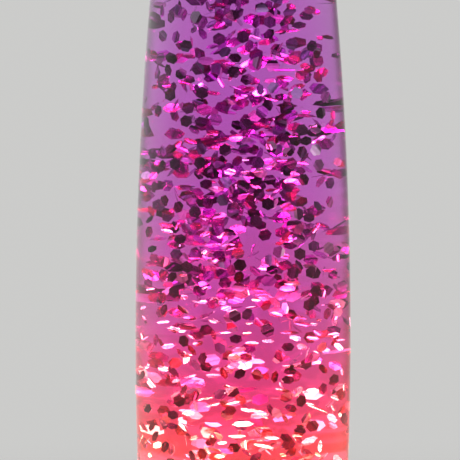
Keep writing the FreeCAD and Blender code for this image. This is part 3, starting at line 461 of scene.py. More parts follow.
def bottle_outline():
    """The glass in one closed outline: outside from the punt up to the lip, then inside down."""
    outer_neck = neck_start(0.0, neck_radius)
    inner_neck = neck_start(glass_wall, neck_bore)
    wide_bore = neck_bore + neck_ease
    lip_corner = finish_top - lip_rounding
    return outline(
        dome(stand_level, stand_inner, punt_height),
        outer_side,
        line(outer_shoulder, (neck_radius, outer_neck), 3),
        line((neck_radius, outer_neck + shoulder_ease), (neck_radius, lip_low - neck_ease), 4),
        line((lip_radius, lip_low + lip_overhang), (lip_radius, lip_corner), 3),
        arc((lip_radius - lip_rounding, lip_corner), lip_rounding, 0, 90, 8),
        arc((neck_bore + lip_rounding, lip_corner), lip_rounding, 90, 180, 8),
        line((neck_bore, finish_top - bore_ease), (neck_bore, inner_neck), 4),
        line((wide_bore, neck_start(glass_wall, wide_bore)), inner_shoulder, 3),
        inner_side[::-1],
        dome(inner_floor, stand_inner, punt_height)[::-1],
    )


def liquid_outline():
    """The liquid in one closed outline, a film's width inside the glass, flat on top."""
    side = inner_side[inner_side[:, 1] < liquid_top - 2 * surface_drop]
    steps = np.gradient(side, axis=0)
    inward = np.stack([-steps[:, 1], steps[:, 0]], 1)
    inward /= np.linalg.norm(inward, axis=1)[:, None]
    floor = dome(inner_floor, stand_inner, punt_height)
    floor[:, 1] += wall_film
    top = liquid_top - surface_drop
    return outline(floor, side + inward * wall_film, line((surface_edge, top), (0.0, top), 6))


surface_edge = float(wall_radius(liquid_top, glass_wall)) - wall_film
# The lens: its underside and its top, and the fillet where it climbs the glass
skin_low, skin_high = liquid_top - 0.45, liquid_top - 0.3
climb_radius, climb_level, climb_width = 1.1, liquid_top + 0.8, 3.0


def skin_outline():
    """The free surface of the liquid: a thin lens that climbs the glass in a small round fillet."""
    return outline(
        line((0.0, skin_low), (surface_edge, skin_low), 4),
        arc((surface_edge - climb_radius, climb_level), climb_radius, 0, -90, 8),
        line((surface_edge - climb_width, skin_high), (0.0, skin_high), 4),
    )


floor_margin = 0.5            # faces this far below the inner floor can belong to its corner


def wetted_faces(mesh):
    """For each face of the bottle: whether the liquid wets it. Those faces lie nearer to the axis
    than the middle of the glass, above the middle of its floor and below the liquid's top."""
    centres = np.array([polygon.center[:] for polygon in mesh.polygons]) / MM
    level = centres[:, 2]
    out = np.hypot(centres[:, 0], centres[:, 1])
    foot_middle = foot_radius(level, glass_wall / 2)
    wall_middle = np.minimum(wall_radius(level, glass_wall / 2), foot_middle)
    floor_middle = stand_level + (inner_floor - stand_level + punt_height) / 2
    corner_top = inner_floor + foot_inner_corner
    inside = (level <= corner_top) | (out < wall_middle)
    low_corner = (level <= corner_top) & (level > inner_floor - floor_margin)
    outside_corner = low_corner & (out > foot_middle)
    return inside & ~outside_corner & (level > floor_middle) & (level < liquid_top)


vertices, faces = lathe(bottle_outline(), 160)
bottle = new_piece("blown_bottle", vertices, faces, "bottle", ["bottle_glass"])
bottle.data.materials.append(clear_glass("blown_glass", (0.985, 0.985, 0.99), glass_ior, 22.0))
bottle.data.materials.append(clear_glass("wetted_glass", (1.0, 1.0, 1.0), glass_ior / liquid_ior,
                                         22.0))
bottle.data.polygons.foreach_set("material_index", wetted_faces(bottle.data).astype(np.int32))

vertices, faces = lathe(liquid_outline(), 128)
liquid = new_piece("dye_and_painted_glow_liquid", vertices, faces, "bottle", ["liquid"])
liquid.data.materials.append(liquid_with_painted_glow())

vertices, faces = lathe(skin_outline(), 128)
skin = new_piece("liquid_surface", vertices, faces, "bottle")
skin.data.materials.append(clear_glass("liquid_surface", (0.92, 0.80, 0.92), liquid_ior, 60.0))


# Glitter

flake_across_flats = 3.175
flake_corner = flake_across_flats / 2 / math.cos(math.radians(30))
flake_thickness = 0.06
flake_rows = np.array([-1.0, -0.42, 0.0, 0.42, 1.0])
curl_shape = np.array([-1.5, -0.5, 0.5, 1.5])
curl_spread, crease_spread = 0.05, 0.08
flake_gap = 0.3               # least room between a flake and the glass
flake_pixels = 12.3           # a flake's length in the photograph where it faces the camera
flake_seed = 33
flake_total = 1600

# Flakes from the photograph: how far behind the glass they lie, and how they lean
flake_depths = (2.6, 5.5)
glint_depth, shard_depth, depth_spread = 3.0, 7.5, 3.0
edge_limit = 0.97             # greatest share of the half width that counts for a flake's lean
dark_lean = math.radians(24.0)      # a black flake that leans less looks down and mirrors no lamp
bulb_level = 108.0            # the glints throw the light of this height at the viewer

# Random flakes: room around them, and how they crowd
flake_spacing = 1.5
wall_room, floor_room, surface_room = 2.1, 2.6, 3.0
front_layer, front_side = 7.0, 0.25       # kept free behind the wall that faces the camera
photo_levels = (127.0, 266.0)
thin_level, thin_share = 192.0, 0.25      # below the level this share of them is left out
crowd_share, crowd_depth, crowd_reach = 0.80, 20.0, 27.0
drift_share, drift_clumps, drift_spread = 0.70, 80, (6.0, 6.0, 7.5)
draw_size = 400
glint_lengths, glint_widths = (0.6, 1.1), (0.3, 0.65)

# Tones of the film by what a flake shows, lit and shaded painted copies of one silver film: black,
# plum and crimson are painted shade, the black where a flake mirrors the dark room, lilac a painted
# reflection of the pale room, silver the film's own, hot pink and glint painted light of the bulb;
# rose, dust and blush stand in for hot pink, plum and glint low in the bottle, painted warmer near
# the bulb. The fourth number is how mirror-like it is
tones = {
    "K": (0.24, 0.052, 0.19, 1.0), "P": (0.56, 0.09, 0.54, 0.95), "C": (0.42, 0.055, 0.34, 0.9),
    "L": (0.42, 0.27, 0.50, 0.7), "G": (0.80, 0.78, 0.80, 0.6), "H": (0.86, 0.21, 0.54, 0.9),
    "W": (0.95, 0.90, 0.92, 1.0), "R": (0.84, 0.30, 0.50, 0.9), "D": (0.52, 0.14, 0.38, 0.95),
    "B": (0.95, 0.50, 0.61, 1.0),
}
# Below this level the tones are painted warmer, as light of the bulb
painted_warm_level = 168.0
painted_warm_names = str.maketrans("HPW", "RDB")
# Painted shade: how much lighter or darker each strip of a flake is made
painted_strip_shades = (0.75, 1.3)
# Share of random flakes whose strips past a crease take a second tone, painted light and shade of
# the crease
painted_two_shade_share = 0.3
# Shares of the tones near the wall and deep in the liquid; near the wall about half are black,
# painted shade. From the painted light level down, over its fade, the draws move up the tables, to
# their bright ends, painted light of the bulb low in the bottle
wall_shares = (("K", 0.52), ("W", 0.05), ("G", 0.03), ("H", 0.03), ("P", 0.13), ("C", 0.06),
               ("L", 0.08), ("G", 0.03), ("H", 0.06), ("W", 0.01))
deep_shares = (("K", 0.15), ("W", 0.06), ("P", 0.29), ("C", 0.19), ("L", 0.08), ("G", 0.02),
               ("H", 0.18), ("W", 0.03))
deep_start, deep_fade = 4.0, 8.0
bright_level, bright_fade, painted_light_share = 200.0, 30.0, 0.62

# Flakes close behind the glass, measured on the photograph: tone, pixels across and down,
# width and height in pixels; a second tone stands for a flake with two shades, painted light and
# shade on the two sides of a crease
front_flakes = (
    ("K", 171, 17, 6, 13), ("P", 162, 11, 4, 12), ("PL", 178, 10, 6, 12), ("C", 184, 15, 5, 11),
    ("KG", 196, 17, 11, 13), ("GC", 162, 36, 7, 12), ("P", 176, 37, 7, 12), ("KL", 186, 46, 11, 14),
    ("K", 160, 58, 7, 11), ("K", 168, 70, 6, 12), ("K", 181, 74, 12, 11), ("K", 189, 79, 11, 8),
    ("LC", 198, 69, 13, 13), ("K", 202, 93, 14, 12), ("KL", 198, 102, 12, 6),
    ("K", 170, 95, 12, 12), ("K", 158, 111, 6, 12), ("C", 188, 108, 12, 12), ("K", 234, 72, 13, 15),
    ("C", 243, 37, 13, 13), ("C", 219, 39, 14, 12), ("P", 219, 15, 9, 11), ("KH", 233, 15, 13, 11),
    ("L", 225, 52, 11, 10), ("C", 235, 58, 12, 9), ("P", 243, 103, 15, 9), ("PL", 262, 10, 13, 12),
    ("P", 256, 22, 7, 12), ("P", 270, 22, 12, 12), ("K", 269, 34, 10, 10), ("C", 289, 20, 13, 10),
    ("PL", 310, 10, 12, 8), ("K", 312, 46, 9, 11), ("GK", 317, 53, 7, 11), ("PL", 292, 44, 13, 12),
    ("L", 305, 55, 9, 10), ("HP", 294, 60, 12, 10), ("CH", 301, 75, 12, 10), ("P", 318, 77, 8, 11),
    ("PL", 274, 88, 12, 12), ("L", 297, 93, 12, 12), ("C", 281, 97, 13, 7), ("GK", 326, 97, 9, 12),
    ("K", 268, 105, 10, 13), ("K", 286, 110, 13, 10), ("GK", 321, 113, 9, 12),
    ("K", 186, 121, 12, 12), ("K", 201, 122, 13, 11), ("K", 194, 130, 10, 8),
    ("C", 216, 120, 12, 12), ("KP", 246, 124, 13, 12), ("K", 147, 130, 6, 11),
    ("KH", 171, 149, 10, 9), ("P", 152, 154, 7, 11), ("K", 175, 164, 10, 13),
    ("K", 162, 166, 7, 12), ("K", 200, 163, 13, 13), ("K", 225, 150, 12, 13),
    ("K", 213, 174, 13, 11), ("PL", 219, 165, 12, 8), ("K", 243, 187, 13, 13),
    ("KL", 164, 201, 8, 12), ("KC", 178, 207, 9, 12), ("K", 195, 212, 12, 12),
    ("C", 167, 216, 12, 12), ("KL", 233, 213, 13, 11), ("P", 208, 203, 10, 12),
    ("PL", 223, 200, 13, 13), ("K", 154, 187, 5, 12), ("C", 151, 211, 6, 9),
    ("C", 206, 184, 12, 10), ("PL", 244, 149, 12, 10), ("P", 237, 161, 10, 10),
    ("L", 201, 149, 9, 12), ("P", 262, 112, 12, 12), ("K", 270, 121, 9, 6), ("K", 302, 130, 13, 12),
    ("KG", 316, 129, 12, 10), ("C", 283, 138, 13, 9), ("K", 306, 141, 13, 9),
    ("G", 316, 150, 11, 12), ("G", 319, 165, 9, 14), ("LK", 302, 152, 9, 13),
    ("KG", 288, 152, 12, 9), ("KP", 286, 171, 10, 10), ("P", 258, 163, 13, 13),
    ("KG", 271, 147, 11, 13), ("KP", 270, 180, 13, 11), ("K", 256, 181, 12, 9),
    ("CK", 259, 194, 11, 12), ("K", 268, 204, 13, 13), ("C", 290, 197, 13, 11),
    ("CH", 287, 207, 13, 8), ("KG", 299, 214, 9, 13), ("C", 309, 218, 13, 9),
    ("K", 256, 221, 13, 12), ("P", 330, 183, 8, 12), ("GP", 330, 202, 6, 13), ("G", 338, 162, 7, 9),
    ("L", 318, 206, 8, 9), ("PK", 149, 232, 6, 12), ("K", 152, 249, 8, 7), ("KP", 180, 239, 11, 10),
    ("GK", 164, 262, 8, 10), ("K", 187, 267, 11, 12), ("KP", 172, 277, 9, 10),
    ("P", 163, 276, 8, 11), ("K", 174, 292, 10, 12), ("C", 162, 298, 8, 11), ("C", 164, 310, 6, 10),
    ("C", 196, 226, 13, 8), ("P", 217, 231, 13, 11), ("KG", 234, 239, 13, 8),
    ("H", 238, 253, 13, 11), ("K", 240, 265, 13, 13), ("K", 239, 277, 10, 12),
    ("P", 244, 279, 12, 12), ("CK", 225, 283, 13, 11), ("PL", 224, 263, 12, 12),
    ("PK", 202, 269, 7, 10), ("P", 219, 255, 13, 9), ("KL", 235, 316, 12, 12),
    ("K", 206, 330, 13, 11), ("CW", 148, 284, 10, 12), ("PL", 176, 254, 12, 11),
    ("GK", 279, 252, 12, 12), ("K", 300, 254, 12, 12), ("KP", 293, 273, 12, 13),
    ("K", 299, 265, 8, 8), ("CK", 272, 270, 13, 9), ("K", 311, 272, 9, 12),
    ("KG", 315, 273, 11, 13), ("K", 316, 291, 11, 12), ("KC", 309, 305, 13, 12),
    ("KC", 314, 301, 11, 11), ("C", 286, 236, 8, 6), ("L", 299, 229, 10, 10),
    ("G", 329, 248, 9, 13), ("KG", 337, 248, 8, 6), ("L", 314, 246, 12, 11),
    ("L", 247, 314, 10, 11), ("PL", 266, 305, 10, 10), ("CK", 268, 331, 12, 12),
    ("P", 333, 275, 12, 9), ("P", 324, 293, 5, 10), ("G", 338, 312, 8, 10), ("CK", 236, 339, 13, 9),
    ("K", 184, 341, 10, 12), ("C", 192, 350, 8, 7), ("C", 150, 348, 6, 9), ("C", 156, 340, 4, 12),
    ("P", 168, 380, 5, 9), ("P", 184, 390, 6, 9), ("P", 142, 375, 5, 9), ("KC", 179, 401, 12, 12),
    ("KG", 147, 408, 8, 10), ("K", 173, 415, 13, 9), ("K", 163, 424, 7, 10),
    ("KP", 172, 426, 11, 7), ("KP", 182, 427, 8, 6), ("K", 152, 426, 6, 9), ("K", 155, 436, 6, 10),
    ("K", 165, 447, 7, 10), ("K", 202, 454, 9, 12), ("K", 192, 456, 6, 11), ("K", 234, 448, 13, 10),
    ("CK", 240, 374, 11, 10), ("P", 224, 373, 7, 10), ("P", 227, 355, 9, 8),
    ("LG", 234, 357, 13, 8), ("CP", 288, 347, 13, 9), ("C", 281, 355, 10, 9),
    ("P", 309, 358, 8, 10), ("G", 322, 347, 9, 10), ("PK", 323, 369, 8, 8), ("K", 290, 371, 13, 8),
    ("KP", 288, 380, 13, 9), ("KC", 275, 377, 7, 12), ("GC", 257, 375, 10, 11),
    ("K", 301, 401, 9, 12), ("PC", 291, 408, 11, 8), ("GK", 306, 418, 9, 10),
    ("KW", 300, 431, 12, 10), ("CK", 286, 438, 11, 9), ("C", 291, 453, 11, 8),
    ("C", 256, 457, 11, 8), ("P", 333, 425, 8, 8), ("CH", 323, 389, 8, 12), ("P", 348, 430, 4, 7),
    ("H", 230, 411, 12, 10),
)
# Glints that throw the bulb's light at the viewer: pixels across and down, length and width in
# pixels, and the angle of the length over the level
front_glints = (
    (211, 10, 5, 4, 0), (230, 78, 7, 3, 80), (243, 96, 8, 3, 0), (254, 37, 12, 3, -25),
    (209, 136, 11, 3, 8), (271, 119, 7, 3, -20), (269, 147, 12, 5, 100), (313, 126, 10, 4, 10),
    (309, 142, 8, 2, 12), (245, 160, 7, 3, 5), (230, 172, 11, 7, -25), (245, 172, 8, 3, 15),
    (258, 172, 10, 4, 0), (283, 172, 5, 4, 0), (294, 173, 5, 4, 0), (221, 189, 7, 4, -30),
    (275, 165, 6, 4, 60), (205, 219, 6, 3, -20), (167, 231, 14, 4, -20), (315, 230, 10, 3, 60),
    (285, 155, 6, 3, -40), (178, 245, 6, 3, -50), (204, 252, 7, 4, 60), (208, 255, 11, 6, -30),
    (150, 289, 11, 4, 15), (183, 275, 8, 3, 0), (184, 297, 8, 6, -60), (196, 302, 8, 3, -20),
    (203, 302, 8, 4, 0), (205, 288, 6, 5, 50), (143, 308, 8, 5, 30), (144, 318, 9, 3, -40),
    (163, 322, 14, 4, 8), (174, 329, 16, 4, -18), (182, 331, 9, 3, 0), (213, 321, 11, 4, -35),
    (256, 300, 9, 4, -10), (249, 323, 7, 3, 0), (247, 333, 8, 4, 15), (293, 284, 16, 4, -3),
    (319, 320, 6, 3, 15), (314, 324, 7, 3, -5), (335, 335, 19, 5, 14), (341, 340, 13, 2, 0),
    (339, 347, 13, 9, -60), (302, 347, 10, 8, 30), (268, 341, 11, 5, 0), (198, 343, 10, 6, 20),
    (188, 355, 9, 4, -15), (145, 338, 8, 4, 50), (231, 346, 7, 2, 30), (350, 322, 12, 3, 85),
    (351, 301, 16, 3, 80), (338, 305, 7, 5, 20), (316, 352, 6, 3, -50), (147, 366, 7, 5, 0),
    (163, 369, 14, 6, -20), (151, 383, 19, 6, -42), (176, 381, 8, 5, 30), (188, 413, 15, 7, -30),
    (157, 445, 14, 7, -20), (141, 439, 10, 3, 80), (147, 441, 8, 3, 60), (194, 438, 8, 5, 20),
    (222, 443, 9, 6, 0), (220, 456, 11, 8, -40), (243, 424, 20, 7, 8), (237, 436, 16, 5, 0),
    (263, 428, 13, 3, 0), (263, 446, 16, 5, -30), (254, 410, 11, 3, 0), (318, 409, 21, 4, -35),
    (300, 426, 10, 3, 5), (297, 436, 12, 3, 0), (335, 398, 10, 6, -30), (333, 408, 8, 3, 90),
    (305, 392, 9, 3, 0), (290, 366, 15, 3, 0), (227, 386, 6, 3, -30), (233, 403, 14, 3, 30),
    (203, 399, 10, 3, 35), (340, 415, 8, 3, 40), (344, 388, 8, 3, 70), (283, 455, 9, 3, 20),
    (318, 455, 8, 4, -10), (342, 372, 9, 3, 75), (310, 404, 8, 3, -20), (150, 455, 9, 4, -30),
    (265, 417, 8, 2, -50),
)
# Hot pink shards that do the same, deeper in the liquid; their hot pink is painted light of the
# bulb
front_shards = (
    (155, 87, 8, 4, 0), (167, 85, 9, 6, 10), (184, 82, 12, 5, -20), (213, 93, 14, 5, -15),
    (236, 99, 12, 10, 20), (287, 31, 24, 3, 8), (289, 60, 10, 9, 30), (284, 70, 20, 3, 0),
    (285, 78, 16, 6, -10), (305, 66, 9, 7, 40), (305, 95, 14, 5, 20), (272, 99, 14, 4, -20),
    (320, 38, 7, 4, 0), (244, 52, 6, 6, 50), (240, 71, 7, 5, 0), (197, 69, 8, 3, 50),
    (231, 18, 13, 5, -45), (291, 6, 9, 6, -40), (316, 12, 9, 6, 0), (263, 9, 15, 4, 10),
    (218, 5, 16, 3, 0), (262, 125, 15, 4, -25), (285, 137, 24, 3, 5), (235, 138, 14, 8, 10),
    (190, 141, 14, 6, -30), (213, 133, 12, 7, 0), (216, 147, 10, 6, 0), (178, 144, 11, 6, 60),
    (153, 176, 10, 7, 60), (157, 163, 7, 6, 0), (184, 187, 16, 6, 0), (166, 213, 7, 5, 0),
    (172, 211, 8, 5, 60), (166, 225, 17, 4, -15), (177, 226, 9, 4, 80), (218, 166, 12, 4, 15),
    (211, 158, 14, 3, -5), (268, 161, 12, 6, 20), (283, 161, 10, 5, 0), (272, 168, 11, 5, 0),
    (292, 174, 14, 5, -10), (210, 182, 13, 4, -15), (256, 187, 12, 4, -45), (290, 209, 14, 5, 10),
    (309, 216, 14, 5, 5), (333, 115, 12, 5, 85), (331, 127, 9, 4, -20), (306, 112, 9, 3, 0),
    (303, 163, 10, 5, -15), (317, 227, 12, 4, 60), (294, 228, 12, 6, 20), (195, 258, 13, 3, 0),
    (213, 245, 14, 4, 10), (228, 245, 12, 3, 10), (205, 234, 10, 5, 40), (285, 256, 9, 5, -20),
    (176, 292, 8, 5, -30), (265, 268, 12, 6, 0), (288, 288, 16, 8, 15), (262, 295, 14, 5, 10),
    (258, 290, 12, 4, -10), (285, 240, 10, 4, 0), (338, 258, 8, 4, 80), (330, 270, 16, 3, 3),
    (298, 318, 16, 6, -10), (302, 324, 16, 4, -20), (277, 314, 11, 6, -30), (222, 303, 8, 4, -10),
    (226, 308, 9, 7, 40), (222, 333, 16, 4, 8), (190, 318, 14, 4, -10), (168, 346, 14, 6, 10),
    (290, 333, 18, 4, 0), (313, 338, 12, 5, -10), (318, 333, 10, 4, -60), (252, 343, 12, 5, 0),
    (213, 375, 14, 5, 0), (212, 405, 14, 5, 30), (283, 390, 14, 5, -20), (325, 350, 12, 5, 0),
    (190, 376, 12, 4, 30), (247, 410, 12, 5, -30), (272, 438, 14, 5, 0),
)
# Where the flakes behind them crowd together: pixels across and down, and the spread in pixels
photo_clumps = (
    (215, 8, 14), (180, 12, 10), (235, 12, 10), (262, 20, 12), (292, 22, 12), (205, 48, 14),
    (232, 48, 12), (158, 62, 7), (215, 66, 10), (240, 76, 14), (270, 58, 12), (296, 60, 16),
    (290, 74, 14), (238, 98, 16), (165, 86, 8), (280, 100, 14), (205, 112, 10), (325, 62, 7),
    (300, 112, 12), (335, 110, 7), (262, 128, 12), (235, 132, 16), (212, 142, 14), (285, 130, 14),
    (312, 142, 12), (170, 140, 8), (240, 168, 18), (215, 168, 14), (268, 166, 14), (195, 168, 9),
    (160, 178, 8), (210, 188, 16), (185, 195, 12), (215, 205, 16), (175, 210, 12), (240, 205, 9),
    (272, 210, 12), (290, 205, 9), (205, 226, 14), (170, 228, 9), (185, 245, 12), (205, 250, 16),
    (215, 262, 12), (235, 262, 12), (170, 272, 9), (200, 280, 12), (240, 282, 9), (148, 282, 7),
    (185, 300, 12), (205, 300, 14), (290, 232, 8), (312, 232, 8), (300, 262, 14), (325, 252, 7),
    (255, 290, 12), (290, 290, 12), (312, 285, 10), (345, 300, 7), (185, 322, 14), (250, 320, 14),
    (300, 325, 14), (340, 325, 7), (150, 300, 7), (150, 345, 8), (160, 372, 12), (200, 372, 14),
    (235, 365, 12), (275, 370, 14), (315, 365, 14), (340, 350, 10), (150, 400, 10), (180, 410, 14),
    (215, 415, 14), (250, 420, 16), (290, 415, 16), (325, 405, 14), (345, 390, 8), (155, 440, 12),
    (190, 445, 14), (225, 445, 14), (265, 445, 16), (300, 445, 14), (335, 440, 12),
)


def side_radius(level, inset):
    """Radius of the bottle's side at a level, moved in by an inset, on the wall or on the foot."""
    return np.minimum(wall_radius(level, inset), foot_radius(level, inset))


def inner_radius(level):
    """Radius of the bottle's inside at a level."""
    return side_radius(level, glass_wall)


def meet(start, way, inset):
    """Where a ray first meets the bottle's wall, moved in by an inset, and the wall's normal there.
    The wall is taken for a cylinder of the radius at the ray's level, found again three times."""
    level, flat = start[2], way[0] ** 2 + way[1] ** 2
    for _ in range(3):
        radius = side_radius(level, inset)
        half = start[0] * way[0] + start[1] * way[1]
        gap = start[0] ** 2 + start[1] ** 2 - radius ** 2
        spot = start + way * ((-half - math.sqrt(max(half ** 2 - flat * gap, 0.0))) / flat)
        level = spot[2]
    step = 0.5
    slope = (side_radius(level + step, inset) - radius) / step
    normal = np.array([spot[0], spot[1], -radius * slope])
    return spot, normal / np.linalg.norm(normal)


def bend_ray(way, normal, ratio):
    """Snell's law: the direction behind a surface, for the ratio of the two refractive indices."""
    cosine = -way @ normal
    inside = 1 - ratio ** 2 * (1 - cosine ** 2)
    return way * ratio + normal * (ratio * cosine - math.sqrt(max(inside, 0.0)))


def behind_glass(across, down, depth):
    """The place in the liquid that the photograph's camera sees at a pixel, some way behind the
    inner wall, and the ray's direction there."""
    right, rise = (across - picture_middle) * pixel, (picture_middle - down) * pixel
    on_axis = target / MM + np.array([right, rise * up[1], rise * up[2]]) / MM
    eye = (target + back * camera_distance) / MM
    way = (on_axis - eye) / np.linalg.norm(on_axis - eye)
    spot, normal = meet(eye, way, 0.0)
    way = bend_ray(way, normal, 1 / glass_ior)
    spot, normal = meet(spot, way, glass_wall)
    way = bend_ray(way, normal, glass_ior / liquid_ior)
    return spot + way * depth, way


def frame_of(view, spin, yaw, pitch):
    """Columns of a flake's own axes: its face looks along view, is spun in its plane by spin, and
    then leans by yaw about the upright and by pitch about the level direction."""
    upright = np.array([0.0, 0.0, 1.0]) - view[2] * view
    upright /= np.linalg.norm(upright)
    level = np.cross(upright, view)
    face = (view * math.cos(yaw) * math.cos(pitch) + level * math.sin(yaw)
            + upright * math.sin(pitch) * math.cos(yaw))
    long = level * math.cos(spin) + upright * math.sin(spin)
    long = long - face * (long @ face)
    long /= np.linalg.norm(long)
    return np.stack([long, np.cross(face, long), face], 1)


def lit_name(name, level):
    """A flake's tones at a level: low in the bottle, painted warmer near the bulb, hot pink turns
    to rose, plum to dust and a glint to blush."""
    return name.translate(painted_warm_names) if level < painted_warm_level else name


def front_pieces(rng):
    """Places, turns, tones and cuts of the flakes, glints and shards listed from the photograph.
    A glint leans towards the bulb, so its length and width grow by part of what the lean
    foreshortens."""
    spots, turns, names, cuts = [], [], [], []
    for kind, across, down, width, height in front_flakes:
        spot, way = behind_glass(across, down, rng.uniform(*flake_depths))
        half = half_width - half_width_fall * (down - picture_middle - widest_shift) ** 2
        offset = min(abs(across - picture_middle - axis_shift) / half, edge_limit)
        squeeze = math.sqrt((1 - offset ** 2) / (1 - (offset / liquid_ior) ** 2))
        yaw = math.acos(min(width / (flake_pixels * squeeze), 1.0)) * rng.choice([-1, 1])
        pitch = math.acos(min(height / flake_pixels, 1.0))
        if kind[0] == "K":
            pitch *= 1 if pitch > dark_lean else -1
        else:
            pitch *= rng.choice([-1, 1])
        turns.append(frame_of(-way, rng.uniform(0, math.pi), yaw, pitch))
        spots.append(spot)
        names.append(lit_name(kind, spot[2]))
        cuts.append((1.0, 1.0, 1.0))
    for kind, pieces, depth in (("W", front_glints, glint_depth), ("H", front_shards, shard_depth)):
        for across, down, length, width, angle in pieces:
            spot, way = behind_glass(across, down, depth + rng.uniform(0.0, depth_spread))
            to_bulb = np.array([0.0, 0.0, bulb_level]) - spot
            face = to_bulb / np.linalg.norm(to_bulb) - way
            face /= np.linalg.norm(face)
            spin, lean = math.radians(angle), math.sqrt(-way @ face)
            turns.append(frame_of(face, spin, 0.0, 0.0))
            spots.append(spot)
            names.append(lit_name(kind, spot[2]))
            length /= math.hypot(math.cos(spin), math.sin(spin) * lean)
            width /= math.hypot(math.sin(spin), math.cos(spin) * lean)
            cuts.append((length / flake_pixels, width / flake_pixels * 2 / math.sqrt(3), 1.0))
    return np.array(spots), np.array(turns), names, np.array(cuts)


def around(out, turn, level):
    """Points at distances from the axis, turned about it, at levels."""
    return np.stack([out * np.cos(turn), out * np.sin(turn), level], 1)


def in_picture(level):
    """Whether levels are in the part of the bottle that the photograph shows."""
    return (level > photo_levels[0]) & (level < photo_levels[1])


def flake_places(rng, taken):
    """Centres in the liquid. In the photograph's part four fifths crowd about its clumps, at any
    depth behind the front layer; elsewhere seven tenths drift about random clumps; the rest lie
    anywhere, out to the wall by the square root of a draw."""
    low, high = inner_floor + punt_height + floor_room, liquid_top - surface_room
    spots = taken
    clumps = np.stack([rng.uniform(0, 1, drift_clumps), rng.uniform(0, 2 * math.pi, drift_clumps),
                       rng.uniform(low, high, drift_clumps)], 1)
    crowds = np.array([behind_glass(across, down, crowd_depth)[0]
                       for across, down, _ in photo_clumps])
    widths = np.array([width for _, _, width in photo_clumps]) * pixel / MM
    while len(spots) < flake_total:
        level = rng.uniform(low, high, draw_size)
        inside = inner_radius(level) - wall_room
        loose = around(inside * np.sqrt(rng.uniform(0, 1, draw_size)),
                       rng.uniform(0, 2 * math.pi, draw_size), level)
        chosen = clumps[rng.integers(0, drift_clumps, draw_size)]
        centre = around(inside.max() * np.sqrt(chosen[:, 0]), chosen[:, 1], chosen[:, 2])
        drifted = centre + rng.normal(0, drift_spread, (draw_size, 3))
        crowd = rng.integers(0, len(crowds), draw_size)
        crowded = crowds[crowd] + rng.normal(0, 1, (draw_size, 3)) * widths[crowd][:, None]
        crowded[:, 1] = rng.uniform(-crowd_reach, crowd_reach, draw_size)
        draw = rng.uniform(0, 1, draw_size)
        seen = in_picture(loose[:, 2])
        drawn = np.where((seen & (draw < crowd_share))[:, None], crowded,
                         np.where((~seen & (draw < drift_share))[:, None], drifted, loose))
        level = drawn[:, 2]
        inside = inner_radius(np.clip(level, low, high)) - wall_room
        out = np.hypot(drawn[:, 0], drawn[:, 1])
        front = (drawn[:, 1] < -front_side * out) & (out > inside + wall_room - front_layer)
        fits = (out < inside) & (level > low) & (level < high) & ~(front & in_picture(level))
        fits &= (level > thin_level) | (rng.uniform(0, 1, draw_size) > thin_share)
        for spot in drawn[fits]:
            if np.linalg.norm(spots - spot, axis=1).min() > flake_spacing:
                spots = np.vstack([spots, spot])
    return spots[len(taken):flake_total]


def flake_turns(rng, count):
    """Random turns as rotation matrices, from unit quaternions drawn evenly over all turns."""
    drawn = rng.normal(0, 1, (count, 4))
    w, x, y, z = drawn.T / np.linalg.norm(drawn, axis=1)
    return np.stack([
        np.stack([1 - 2 * (y * y + z * z), 2 * (x * y - w * z), 2 * (x * z + w * y)], 1),
        np.stack([2 * (x * y + w * z), 1 - 2 * (x * x + z * z), 2 * (y * z - w * x)], 1),
        np.stack([2 * (x * z - w * y), 2 * (y * z + w * x), 1 - 2 * (x * x + y * y)], 1),
    ], 1)


def deep_names(rng, spots):
    """A painted tone for each random flake: by its depth behind the wall, and painted brighter low
    down, near the bulb.
    """
    count, level = len(spots), spots[:, 2]
    behind = inner_radius(level) - np.hypot(spots[:, 0], spots[:, 1])
    depth = np.clip((behind - deep_start) / deep_fade, 0.0, 1.0)
    low = np.clip((bright_level - level) / bright_fade, 0.0, 1.0)
    share = 1 - (1 - painted_light_share * low) * rng.uniform(0, 1, count)
    chosen = []
    for part, deep in zip(share, rng.uniform(0, 1, count) < depth):
        table = deep_shares if deep else wall_shares
        steps = np.cumsum([amount for _, amount in table])
        chosen.append(table[min(int(np.searchsorted(steps, part)), len(table) - 1)][0])
    second = rng.choice(list("KLPGH"), count)
    split = rng.uniform(0, 1, count) < painted_two_shade_share
    return [lit_name(first + (other if both else ""), height)
            for first, other, both, height in zip(chosen, second, split, level)]


def flake_mesh(spots, turns, slopes, cuts):
    """Each flake is a hexagon plate folded along lines parallel to one diagonal: its rows lie at
    flake_rows times the half width, each strip between two rows has its own slope, and a row's
    height is the running sum of slope times step. A cut flake keeps a share of its length and
    width. Ten corners above and ten below."""
    count, rows = len(spots), len(flake_rows)
    across = flake_rows * flake_corner * math.cos(math.radians(30))
    half_length = flake_corner * (1 - np.abs(flake_rows) / 2)
    heights = np.cumsum(slopes * np.diff(across), 1)
    heights = np.concatenate([np.zeros((count, 1)), heights], 1)
    heights -= heights[:, 2:3]
    left = np.stack([np.tile(-half_length, (count, 1)), np.tile(across, (count, 1)), heights], 2)
    plate = np.concatenate([left, left * (-1.0, 1.0, 1.0)], 1)
    lift = np.array([0.0, 0.0, flake_thickness / 2])
    shape = np.concatenate([plate + lift, plate - lift], 1) * cuts[:, None, :]
    vertices = np.einsum("nij,nkj->nki", turns, shape) + spots[:, None, :]
    above = [[row, row + rows, row + rows + 1, row + 1] for row in range(rows - 1)]
    below = [[corner + 2 * rows for corner in face[::-1]] for face in above]
    rim = list(range(rows, 2 * rows)) + list(range(rows - 1, -1, -1))
    sides = [[a, a + 2 * rows, b + 2 * rows, b] for a, b in zip(rim, rim[1:] + rim[:1])]
    faces = []
    for flake in range(count):
        first = 4 * rows * flake
        faces += [[corner + first for corner in face] for face in above + below + sides]
    return vertices, faces


